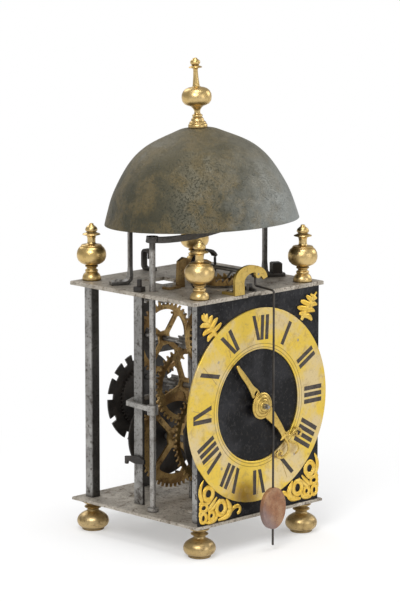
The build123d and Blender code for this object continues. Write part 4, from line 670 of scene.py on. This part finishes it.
# Turned profiles: (radius, height) points in millimetres, from the end that stands below.
FOOT_PROFILE = (
    (0.0, 0.0), (8.8, 0.0), (9.4, 0.5), (9.5, 1.4), (9.2, 1.9), (10.6, 2.4), (12.4, 4.0),
    (13.35, 6.2), (13.5, 8.0), (13.0, 10.2), (11.6, 12.2), (9.6, 13.8), (8.0, 14.6), (7.6, 15.0),
    (7.2, 15.1), (6.0, 15.6), (5.0, 16.6), (4.8, 17.8), (5.4, 18.5), (6.9, 18.9), (7.3, 19.5),
    (7.0, 20.1), (5.6, 20.6), (5.2, 21.6), (5.8, 22.4), (7.8, 22.9), (8.3, 23.6), (8.2, 24.3),
    (7.4, 24.8), (7.6, 25.3), (8.3, 25.6), (8.3, 25.98), (0.0, 25.98),
)
FINIAL_PROFILE = (
    (0.0, 0.02), (7.6, 0.02), (7.9, 0.8), (7.8, 2.4), (7.4, 3.8), (6.6, 5.2), (5.4, 6.4),
    (4.9, 6.9), (5.3, 7.4), (5.5, 8.2), (5.1, 8.9), (4.3, 9.3), (4.0, 10.0), (4.3, 10.8),
    (5.2, 11.3), (5.5, 12.0), (5.0, 12.6), (4.8, 12.9), (6.4, 13.5), (9.2, 14.8), (11.2, 16.8),
    (12.25, 19.4), (12.4, 22.0), (12.0, 24.6), (10.8, 27.0), (9.4, 28.4), (8.6, 28.8), (8.8, 29.4),
    (8.2, 30.0), (7.2, 30.2), (4.6, 30.5), (3.7, 31.1), (3.4, 32.5), (3.4, 35.0), (3.8, 37.0),
    (4.8, 38.2), (7.3, 38.4), (7.6, 38.7), (7.2, 39.2), (5.4, 39.9), (4.0, 40.7), (4.0, 41.1),
    (5.0, 41.8), (5.2, 43.0), (4.6, 44.4), (3.4, 45.6), (2.2, 46.4), (1.9, 46.8), (2.0, 47.3),
    (1.4, 48.0), (0.0, 48.2),
)
BELL_FINIAL_PROFILE = (
    (0.0, 0.1), (7.9, 0.1), (8.1, 1.0), (8.0, 2.6), (7.5, 3.4), (7.0, 3.7), (7.2, 4.3), (6.9, 5.0),
    (5.9, 5.6), (5.4, 6.2), (5.3, 7.4), (4.6, 8.4), (3.9, 9.0), (4.3, 9.7), (4.4, 10.4),
    (4.0, 11.1), (3.0, 11.5), (2.5, 12.8), (2.5, 14.0), (3.1, 15.6), (4.4, 17.2), (5.2, 17.8),
    (5.2, 18.1), (7.2, 18.6), (10.2, 20.0), (12.0, 22.4), (12.55, 25.4), (12.3, 28.2), (11.0, 30.8),
    (9.0, 32.6), (6.6, 33.6), (4.0, 34.1), (3.1, 34.6), (2.8, 36.4), (2.2, 42.0), (1.9, 47.8),
    (2.3, 49.2), (3.0, 49.8), (5.3, 49.9), (5.7, 50.3), (5.2, 50.8), (3.2, 51.7), (2.9, 52.3),
    (3.6, 52.9), (4.2, 54.0), (4.1, 55.2), (3.2, 56.4), (2.2, 57.0), (2.0, 57.5), (1.4, 58.1),
    (0.0, 58.3),
)
TURNING_STEPS, TURNING_EDGE = 56, 50
FINIAL_LEAN = Vector((-0.0128, 0.0467, 1)).normalized()
BELL_CROWN = Vector((1.9 * MM + SHIFT_X, 0.8 * MM + SHIFT_Y, 314.3 * MM + DECK_Z))


def scaled(profile):
    """A profile in millimetres as one in metres."""
    return [(radius * MM, along * MM) for radius, along in profile]


def turn_piece(node, profile, start, *lean):
    """A turned piece in the place of a plainer CAD node, with that node's material."""
    turned = spun("turned_" + node, scaled(profile), start, "Z", TURNING_STEPS, *lean, angle=TURNING_EDGE)
    turned.data.materials.append(NODES[node].data.materials[0])
    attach(turned, "frame")
    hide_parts(node)


class CLOCK_OT_turnings(bpy.types.Operator):
    """Turns the feet, the corner finials and the bell's finial"""

    bl_idname = "clock.turnings"
    bl_label = "Turned brass"

    def execute(self, context):
        for kind, profile in (("foot", FOOT_PROFILE), ("finial", FINIAL_PROFILE)):
            for node in corners(kind):
                low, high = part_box(node)
                turn_piece(node, profile, ((low.x + high.x) / 2, (low.y + high.y) / 2, low.z))
        turn_piece("bell_finial", BELL_FINIAL_PROFILE, BELL_CROWN, FINIAL_LEAN)
        return {"FINISHED"}


# The strap thins over a height above each foot, and thickens again under its crown.
STRAP_ANGLE = radians(-26.8)
STRAP_FOOT, STRAP_TAPER = 7 * MM, 7 * MM
STRAP_CROWN, STRAP_CROWN_TAPER = 8 * MM, 6 * MM
STRAP_THINNED = 0.40


class CLOCK_OT_strap(bpy.types.Operator):
    """Forges the bell's strap thinner above its feet and rounds its edges"""

    bl_idname = "clock.strap"
    bl_label = "Bell strap"

    def execute(self, context):
        low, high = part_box("bell_strap")
        iron = NODES["bell_strap"].data.materials[0]
        strap = own_copy("bell_strap", "forged_strap")
        bpy.ops.object.mode_set(mode="EDIT")
        for up in (low.z + STRAP_FOOT, low.z + STRAP_FOOT + STRAP_TAPER):
            bpy.ops.mesh.select_all(action="SELECT")
            bpy.ops.mesh.bisect(plane_co=(0, 0, up), plane_no=(0, 0, 1))
        bpy.ops.object.mode_set(mode="OBJECT")
        wide = Vector((-sin(STRAP_ANGLE), cos(STRAP_ANGLE), 0))
        middle = (low + high) / 2
        across = Vector((middle.x, middle.y, 0)).dot(wide)
        for vertex in strap.data.vertices:
            share = min(1.0, max(0.0, (vertex.co.z - low.z - STRAP_FOOT) / STRAP_TAPER))
            share *= min(1.0, max(0.0, (high.z - STRAP_CROWN - vertex.co.z) / STRAP_CROWN_TAPER))
            away = vertex.co.dot(wide) - across
            vertex.co -= wide * away * STRAP_THINNED * share
        bevel(strap, 0.9 * MM, 3, 50)
        bpy.ops.object.shade_smooth_by_angle(angle=radians(50))
        strap.data.materials.clear()
        strap.data.materials.append(iron)
        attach(strap, "frame")
        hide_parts("bell_strap")
        return {"FINISHED"}


# Where the ring's pins stand: (x, height over the base plate), and a pin's profile, in millimetres.
PIN_PLACES = ((44.0, 139.8), (-48.9, 133.8), (-45.4, 44.7), (40.4, 43.2))
PIN_PROFILE = ((0, -0.55), (0.7, -0.5), (1.25, -0.25), (1.35, 0.1), (0, 0.15))


class CLOCK_OT_ring_pins(bpy.types.Operator):
    """Sets the small riveted pins that hold the ring"""

    bl_idname = "clock.ring_pins"
    bl_label = "Ring pins"

    def execute(self, context):
        pin = metal(
            "pin_steel", (0.45, 0.36, 0.22), (0.6, 0.52, 0.38), (0.15, 0.1, 0.05), patch_scale=200.0,
            worn_amount=0.6, stain_amount=0.5, grime=0.6, grime_reach=0.001, roughness=0.35, bump=0.3,
        )
        made = []
        for x, up in PIN_PLACES:
            centre = (x * MM + SHIFT_X, DIAL_Y + 0.2 * MM, up * MM + DECK_Z)
            made.append(spun("pin", scaled(PIN_PROFILE), centre, steps=20))
        pins = merged("ring_pins", made)
        pins.data.materials.append(pin)
        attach(pins, "frame")
        return {"FINISHED"}


# ------------------------------------------------------------------ castings
# Each strand is (x, height over the base plate, half width) along its middle, in millimetres.
SCROLL_STRANDS = (
    ((65.2, 38.2, 0.4), (66.0, 36.8, 0.9), (67.9, 34.0, 1.3), (69.0, 30.2, 1.6),
     (68.8, 25.6, 1.9), (66.8, 21.3, 1.7), (65.8, 18.4, 0.8)),
    ((38.8, 18.6, 0.6), (36.6, 14.4, 2.0), (33.8, 9.0, 2.6), (36.6, 4.2, 2.7),
     (42.2, 2.5, 2.2), (48.6, 1.8, 0.9)),
    ((34.0, 6.6, 1.6), (30.4, 9.4, 1.6), (26.4, 10.5, 1.5), (22.6, 8.7, 1.2), (22.7, 5.4, 1.2),
     (25.0, 4.0, 1.7), (26.4, 3.9, 0.8)),
    ((49.8, 21.6, 0.6), (53.4, 17.8, 1.5), (57.0, 14.8, 1.7), (60.6, 11.4, 0.9)),
    ((46.4, 19.4, 0.6), (51.4, 15.0, 1.5), (55.8, 12.2, 1.6), (59.6, 9.6, 0.9)),
    ((53.6, 22.8, 0.6), (57.6, 18.9, 1.5), (61.4, 17.6, 1.4), (64.4, 18.4, 0.9)),
    ((60.8, 0.9, 0.8), (56.4, 1.5, 1.8), (51.8, 2.6, 1.8), (49.6, 5.6, 1.2), (50.4, 8.4, 0.7)),
    ((69.5, 8.2, 0.9), (69.4, 10.6, 1.3), (68.9, 12.8, 0.9)),
    ((66.2, 21.0, 0.8), (68.6, 19.6, 1.3), (69.4, 17.4, 0.9)),
    ((52.6, 9.8, 0.9), (55.6, 11.4, 1.3), (58.8, 12.6, 0.9)),
)
# Each loop is (x, height, half breadth, half height, half width of its strand).
SCROLL_LOOPS = (
    (59.4, 26.0, 5.0, 5.1, 1.9),
    (45.0, 11.6, 4.9, 5.4, 1.9),
    (64.8, 14.9, 3.8, 3.1, 1.4),
    (65.2, 6.4, 3.1, 3.8, 1.5),
    (56.0, 7.0, 3.0, 3.1, 1.4),
    (60.6, 4.2, 2.2, 2.4, 1.1),
)
LEFT_LEAF = (
    ((49.4, 154.6, 1.0), (50.6, 156.0, 1.6), (55.1, 161.1, 1.8), (59.6, 167.6, 1.7),
     (63.2, 173.2, 1.3), (65.2, 176.3, 0.5)),
    ((53.3, 158.8, 1.6), (57.4, 157.0, 1.8), (59.6, 154.4, 1.6), (60.2, 152.6, 0.7)),
    ((56.0, 162.2, 1.9), (61.2, 161.3, 2.0), (64.4, 159.4, 1.4), (66.0, 158.2, 0.6)),
    ((58.8, 166.2, 2.2), (64.0, 166.9, 2.0), (67.2, 166.1, 1.3), (68.8, 165.6, 0.6)),
    ((61.8, 170.4, 1.9), (65.0, 171.9, 1.7), (66.4, 174.0, 1.2), (66.8, 175.4, 0.6)),
    ((54.0, 160.4, 1.6), (50.4, 162.0, 1.7), (47.0, 164.0, 1.4), (45.0, 166.0, 0.7)),
    ((56.6, 163.6, 2.2), (53.6, 167.0, 2.1), (50.8, 169.2, 1.4), (49.2, 170.6, 0.6)),
    ((59.6, 167.4, 2.2), (57.4, 170.2, 1.9), (56.0, 172.2, 1.3), (55.2, 173.4, 0.6)),
    ((62.2, 171.2, 1.7), (61.8, 173.2, 1.5), (61.3, 174.6, 1.0), (61.0, 175.6, 0.5)),
)
RIGHT_LEAF = (
    ((49.2, 155.8, 1.0), (50.4, 157.8, 1.6), (53.8, 162.4, 1.8), (58.3, 168.0, 1.7),
     (63.1, 173.0, 1.3), (67.4, 177.4, 0.5)),
    ((52.4, 159.6, 1.6), (57.0, 158.8, 1.8), (60.4, 156.2, 1.7), (61.6, 154.2, 0.8)),
    ((55.0, 163.4, 2.0), (60.0, 163.6, 1.9), (63.4, 162.4, 1.4), (65.0, 161.4, 0.6)),
    ((58.6, 167.4, 2.0), (63.2, 168.0, 1.8), (66.2, 167.3, 1.3), (67.8, 166.8, 0.6)),
    ((62.0, 171.4, 1.8), (65.0, 172.6, 1.5), (66.6, 172.4, 1.1), (67.8, 172.1, 0.5)),
    ((52.2, 161.2, 1.5), (49.6, 161.6, 1.6), (47.4, 161.7, 1.2), (46.2, 161.7, 0.6)),
    ((55.2, 164.6, 2.0), (49.8, 165.8, 1.9), (46.0, 166.9, 1.3), (44.2, 167.5, 0.6)),
    ((57.8, 167.8, 2.0), (53.2, 170.2, 1.8), (50.0, 171.6, 1.3), (48.2, 172.4, 0.6)),
    ((61.4, 171.2, 1.9), (58.2, 173.4, 1.6), (56.2, 174.8, 1.1), (54.8, 175.8, 0.5)),
    ((63.6, 173.6, 1.5), (61.8, 175.0, 1.2), (60.6, 176.0, 0.8), (59.8, 176.6, 0.4)),
)
# How much fuller the castings are than their drawn strands, and how deep for their breadth.
SCROLL_FULLER, LOOP_FULLER, LEAF_FULLER = 1.15, 1.12, 1.28
CAST_DEPTH = 0.5


def strand(points, closed=False):
    """A round cast strand that follows (x, y, z, half width) points, as a mesh."""
    deselect()
    bpy.ops.curve.primitive_nurbs_path_add()
    piece = bpy.context.object
    line = piece.data
    line.splines.clear()
    spline = line.splines.new("NURBS")
    spline.points.add(len(points) - 1)
    for held, (x, y, z, half) in zip(spline.points, points):
        held.co = (x, y, z, 1)
        held.radius = half / MM
    spline.order_u = 3
    spline.use_cyclic_u = closed
    spline.use_endpoint_u = not closed
    spline.resolution_u = 4
    line.bevel_depth = MM
    line.bevel_resolution = 2
    line.use_fill_caps = True
    bpy.ops.object.convert(target="MESH")
    return bpy.context.object


def flattened(piece, plane_y, share):
    """Presses a piece towards a plane that faces the dial's front."""
    away = Matrix.Translation((0, -plane_y, 0))
    piece.data.transform(away.inverted() @ Matrix.Diagonal((1, share, 1, 1)) @ away)


class CLOCK_OT_castings(bpy.types.Operator):
    """Builds the gilt scrolls and leaves in the dial's corners"""

    bl_idname = "clock.castings"
    bl_label = "Corner castings"

    def execute(self, context):
        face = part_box("dial_plate")[0].y
        plane = face - 0.45 * MM
        cast = NODES["spandrels"].data.materials[0]

        def placed(points, side, right=0.0, lift=0.0):
            """Drawn points set on the dial, on the left with side -1 or on the right with side 1."""
            return [
                (side * (x + right) * MM + SHIFT_X, plane, (up + lift) * MM + DECK_Z, half * MM)
                for x, up, half in points
            ]

        made = []
        for side, right, lift in ((-1, 0.0, 0.0), (1, 0.7, 1.6)):
            for points in SCROLL_STRANDS:
                fuller = [(x, up, SCROLL_FULLER * half) for x, up, half in points]
                made.append(strand(placed(fuller, side, right, lift)))
            for x, up, wide, tall, half in SCROLL_LOOPS:
                wide, tall, half = LOOP_FULLER * wide, LOOP_FULLER * tall, LOOP_FULLER * half
                turns = [eighth * pi / 4 for eighth in range(8)]
                ring = [(x + wide * cos(turn), up + tall * sin(turn), half) for turn in turns]
                made.append(strand(placed(ring, side, right, lift), closed=True))
        for leaf, side in ((LEFT_LEAF, -1), (RIGHT_LEAF, 1)):
            for points in leaf:
                fuller = [(x, up, LEAF_FULLER * half) for x, up, half in points]
                made.append(strand(placed(fuller, side)))
        for each in made:
            flattened(each, plane, CAST_DEPTH)
        castings = merged("corner_castings", made)
        outward(castings)
        bpy.ops.object.shade_smooth_by_angle(angle=radians(60))
        castings.data.materials.clear()
        castings.data.materials.append(cast)
        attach(castings, "frame")
        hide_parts("spandrels")
        return {"FINISHED"}


# The hand's outlines and strands are counted from the dial's middle, in millimetres.
HAND_TAIL = (
    (-2.0, 4.0), (-6.6, 6.0), (-10.2, 8.0), (-12.6, 12.6), (-18.0, 20.6), (-23.6, 27.4), (-27.4, 33.0),
    (-28.4, 36.6), (-27.0, 37.4), (-24.6, 35.2), (-19.8, 30.2), (-14.8, 24.6), (-9.2, 18.0), (-3.4, 13.4),
    (-1.2, 9.4), (1.0, 6.0),
)
HAND_POINTER = (
    (-2.0, -5.0), (4.3, -10.4), (12.2, -16.8), (18.4, -21.8), (23.6, -28.4), (25.6, -31.8), (30.2, -28.6),
    (28.0, -25.4), (24.4, -19.4), (19.6, -12.6), (14.1, -5.4), (8.0, 0.0),
)
HAND_EYE = ((-8.3, 9.7), (-6.6, 9.6), (-5.2, 11.2), (-4.9, 13.2), (-6.4, 13.0), (-7.9, 11.4))
HAND_STRANDS = (
    ((23.0, -33.2, 0.5), (25.0, -31.8, 1.3), (28.4, -29.6, 2.0), (31.4, -27.4, 1.3), (33.2, -26.0, 0.5)),
    ((29.6, -29.6, 1.4), (34.0, -30.6, 1.2), (37.8, -29.6, 1.1), (40.0, -26.6, 1.1), (44.8, -25.6, 1.2),
     (48.6, -28.6, 1.1), (46.8, -32.8, 1.1), (42.6, -32.6, 1.0), (42.0, -29.6, 1.3), (43.2, -29.2, 0.8)),
    ((28.0, -30.6, 1.5), (31.0, -34.6, 1.3), (33.2, -39.6, 1.2), (32.0, -45.2, 1.1), (27.0, -47.8, 1.2),
     (21.2, -48.0, 1.2), (18.4, -44.4, 1.1), (21.4, -41.4, 1.1), (25.4, -42.6, 1.0),
     (24.6, -45.0, 1.3), (23.4, -45.0, 0.8)),
    ((30.4, -31.4, 1.0), (34.6, -36.2, 0.8), (40.0, -37.4, 0.7), (44.6, -40.0, 0.7),
     (45.2, -45.4, 0.7), (41.0, -46.8, 0.8)),
    ((-25.6, 34.4, 0.4), (-21.6, 29.6, 0.7), (-17.4, 24.2, 0.4)),
)
BOSS_PROFILE = (
    (0.0, 0.3), (10.9, 0.3), (11.2, -0.9), (10.7, -1.6), (9.8, -1.9), (9.2, -1.5), (8.7, -2.1), (7.6, -2.8),
    (6.9, -2.9), (6.4, -2.5), (5.9, -3.2), (5.0, -3.7), (4.5, -3.3), (4.0, -4.0), (3.1, -4.2), (0.0, -4.25),
)
HAND_THICKNESS, HAND_ROUNDING = 1.7 * MM, 0.45 * MM


def plate(name, outlines, front_y, thickness, rounding, centre):
    """A flat piece with rounded edges from closed outlines of (x, height) points; inner ones are holes."""
    deselect()
    bpy.ops.curve.primitive_bezier_curve_add()
    piece = bpy.context.object
    piece.name = name
    line = piece.data
    line.splines.clear()
    line.dimensions, line.fill_mode = "2D", "BOTH"
    for outline in outlines:
        spline = line.splines.new("BEZIER")
        spline.bezier_points.add(len(outline) - 1)
        for held, (x, up) in zip(spline.bezier_points, outline):
            held.co = (x * MM, up * MM, 0)
            held.handle_left_type = held.handle_right_type = "AUTO"
        spline.use_cyclic_u = True
        spline.resolution_u = 4
    line.extrude = thickness / 2 - rounding
    line.bevel_depth, line.bevel_resolution, line.offset = rounding, 2, -rounding
    bpy.ops.object.convert(target="MESH")
    piece = bpy.context.object
    piece.rotation_euler = (pi / 2, 0, 0)
    piece.location = (centre[0], front_y + thickness / 2, centre[1])
    apply_place(piece)
    outward(piece)
    bpy.ops.object.shade_smooth_by_angle(angle=radians(35))
    return piece


class CLOCK_OT_hand(bpy.types.Operator):
    """Builds the hand: two flat blades, scrolls and a ringed boss"""

    bl_idname = "clock.hand"
    bl_label = "Hand"

    def execute(self, context):
        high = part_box("hour_hand")[1]
        brass = NODES["hour_hand"].data.materials[0]
        front = high.y - HAND_THICKNESS
        centre = (DIAL_X, DIAL_Z)
        pieces = [
            plate("hand_tail", (HAND_TAIL, HAND_EYE), front, HAND_THICKNESS, HAND_ROUNDING, centre),
            plate("hand_pointer", (HAND_POINTER,), front, HAND_THICKNESS, HAND_ROUNDING, centre),
        ]
        plane = front + 0.6 * MM
        for points in HAND_STRANDS:
            made = strand([(x * MM + DIAL_X, plane, up * MM + DIAL_Z, half * MM) for x, up, half in points])
            flattened(made, plane, 0.75)
            pieces.append(made)
        hand = merged("hand_blades", pieces)
        hand.data.materials.clear()
        boss = spun("hand_boss", scaled(BOSS_PROFILE), (DIAL_X, front + 0.3 * MM, DIAL_Z), steps=56)
        for piece in (hand, boss):
            piece.data.materials.append(brass)
            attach(piece, "hand")
        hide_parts("hour_hand")
        return {"FINISHED"}


# ------------------------------------------------------------------ studio
# The paper looks plain white from this distance on, and shows shadows nearer by, in metres.
SHADE_NEAR, SHADE_FAR = 0.10, 0.42
PAPER = (0.94, 0.94, 0.94, 1)
WHITE = (1, 1, 1, 1)
WORLD_LIGHT = 0.43
# Each lamp is (name, place, size, watts).
LAMPS = (
    ("key", (-1.5, -0.9, 1.7), 1.1, 26.0),
    ("front", (0.3, -2.2, 0.9), 1.2, 8.0),
    ("right", (1.8, -0.6, 1.1), 1.0, 8.0),
    ("back", (0.4, 1.9, 1.6), 1.2, 9.0),
    ("top", (-0.2, -0.2, 2.4), 1.0, 16.0),
)
LAMP_AIM = Vector((0, 0, 0.18))
CAMERA_TARGET = Vector((SHIFT_X, SHIFT_Y, 0.19708))
CAMERA_AZIMUTH, CAMERA_ELEVATION, CAMERA_DISTANCE = radians(44.46), radians(10.30), 2.6169
SENSOR_WIDTH, FOCAL_LENGTH, LENS_SHIFT = 36.0, 281.4, 0.0076
FLOOR_SIZE, FAR_CLIP = 12, 50


def paper_material(backdrop):
    """White paper that takes the shadows and glows to plain white away from the clock."""
    paper = bpy.data.materials.new("studio_paper")
    paper.use_nodes = True
    tree = paper.node_tree
    shader = next(n for n in tree.nodes if n.type == "BSDF_PRINCIPLED")
    shader.inputs["Base Color"].default_value = PAPER
    shader.inputs["Roughness"].default_value = 0.9
    glow = wire(tree, "ShaderNodeEmission", {"Color": WHITE, "Strength": 1.0})
    path = wire(tree, "ShaderNodeLightPath").outputs
    seen = maths(tree, "MAXIMUM", path["Is Camera Ray"], path["Is Glossy Ray"])
    seen = maths(tree, "MAXIMUM", seen, path["Is Transmission Ray"])
    place = wire(tree, "ShaderNodeTexCoord").outputs["Object"]
    reach = wire(tree, "ShaderNodeVectorMath", {0: place}, operation="LENGTH").outputs["Value"]
    white = smooth_step(tree, reach, SHADE_NEAR, SHADE_FAR, backdrop)
    share = maths(tree, "MULTIPLY", seen, white)
    blend = wire(tree, "ShaderNodeMixShader", {0: share, 1: shader.outputs[0], 2: glow.outputs[0]})
    out = next(n for n in tree.nodes if n.type == "OUTPUT_MATERIAL")
    tree.links.new(blend.outputs[0], out.inputs["Surface"])
    return paper


def lay_floor(paper):
    """A floor at the height of the feet."""
    deselect()
    bpy.ops.mesh.primitive_plane_add(size=FLOOR_SIZE, location=(0, 0, 0))
    floor = bpy.context.object
    floor.name = "studio_floor"
    floor.data.materials.append(paper)


def light_world(scene):
    """A world that looks white and lights the clock more weakly than it looks."""
    world = bpy.data.worlds.new("studio_world")
    scene.world = world
    world.use_nodes = True
    tree = world.node_tree
    tree.nodes.clear()
    path = wire(tree, "ShaderNodeLightPath").outputs
    brightness = {"Value": path["Is Camera Ray"], "To Min": WORLD_LIGHT, "To Max": 1.0}
    strength = wire(tree, "ShaderNodeMapRange", brightness).outputs["Result"]
    back = wire(tree, "ShaderNodeBackground", {"Color": WHITE, "Strength": strength})
    tree.links.new(back.outputs[0], wire(tree, "ShaderNodeOutputWorld").inputs["Surface"])


def place_lamp(name, place, size, power):
    """A round lamp aimed at the clock."""
    deselect()
    bpy.ops.object.light_add(type="AREA", location=place)
    lamp = bpy.context.object
    lamp.name = lamp.data.name = name
    lamp.data.shape, lamp.data.size, lamp.data.energy = "DISK", size, power
    aim = LAMP_AIM - Vector(place)
    lamp.rotation_euler = aim.to_track_quat("-Z", "Y").to_euler()


def place_camera(scene):
    """The camera that was fitted to the photo."""
    level = cos(CAMERA_ELEVATION)
    away = Vector((-sin(CAMERA_AZIMUTH) * level, -cos(CAMERA_AZIMUTH) * level, sin(CAMERA_ELEVATION)))
    bpy.ops.object.camera_add(location=CAMERA_TARGET + CAMERA_DISTANCE * away)
    camera = bpy.context.object
    camera.name = "studio_camera"
    camera.rotation_euler = (-away).to_track_quat("-Z", "Y").to_euler()
    lens = camera.data
    lens.sensor_fit, lens.sensor_width, lens.lens = "HORIZONTAL", SENSOR_WIDTH, FOCAL_LENGTH
    lens.shift_x = LENS_SHIFT
    lens.clip_end = FAR_CLIP
    scene.camera = camera


class CLOCK_OT_studio(bpy.types.Operator):
    """Adds the floor, the lamps, the world and the camera"""

    bl_idname = "clock.studio"
    bl_label = "Studio"

    def execute(self, context):
        scene = context.scene
        scene.view_settings.view_transform = "Standard"
        lay_floor(paper_material(scene.clock_looks.backdrop))
        light_world(scene)
        for lamp in LAMPS:
            place_lamp(*lamp)
        place_camera(scene)
        return {"FINISHED"}


class CLOCK_PT_looks(bpy.types.Panel):
    """The looks and one button for each step"""

    bl_label = "Lantern clock"
    bl_idname = "CLOCK_PT_looks"
    bl_space_type = "VIEW_3D"
    bl_region_type = "UI"
    bl_category = "Clock"

    def draw(self, context):
        for name in ClockLooks.__annotations__:
            self.layout.prop(context.scene.clock_looks, name)
        for operator in OPERATORS:
            self.layout.operator(operator.bl_idname)


OPERATORS = (
    CLOCK_OT_finishes, CLOCK_OT_numerals, CLOCK_OT_ring_pins, CLOCK_OT_castings, CLOCK_OT_hand,
    CLOCK_OT_turnings, CLOCK_OT_strap, CLOCK_OT_studio,
)
CLASSES = (ClockLooks, *OPERATORS, CLOCK_PT_looks)


def register():
    """Adds the classes and the scene's looks."""
    for each in CLASSES:
        bpy.utils.register_class(each)
    bpy.types.Scene.clock_looks = bpy.props.PointerProperty(type=ClockLooks)


def unregister():
    """Takes them out again."""
    del bpy.types.Scene.clock_looks
    for each in reversed(CLASSES):
        bpy.utils.unregister_class(each)


def main():
    """Runs every step."""
    register()
    for operator in OPERATORS:
        group, name = operator.bl_idname.split(".")
        getattr(getattr(bpy.ops, group), name)()


if __name__ == "__main__":
    main()
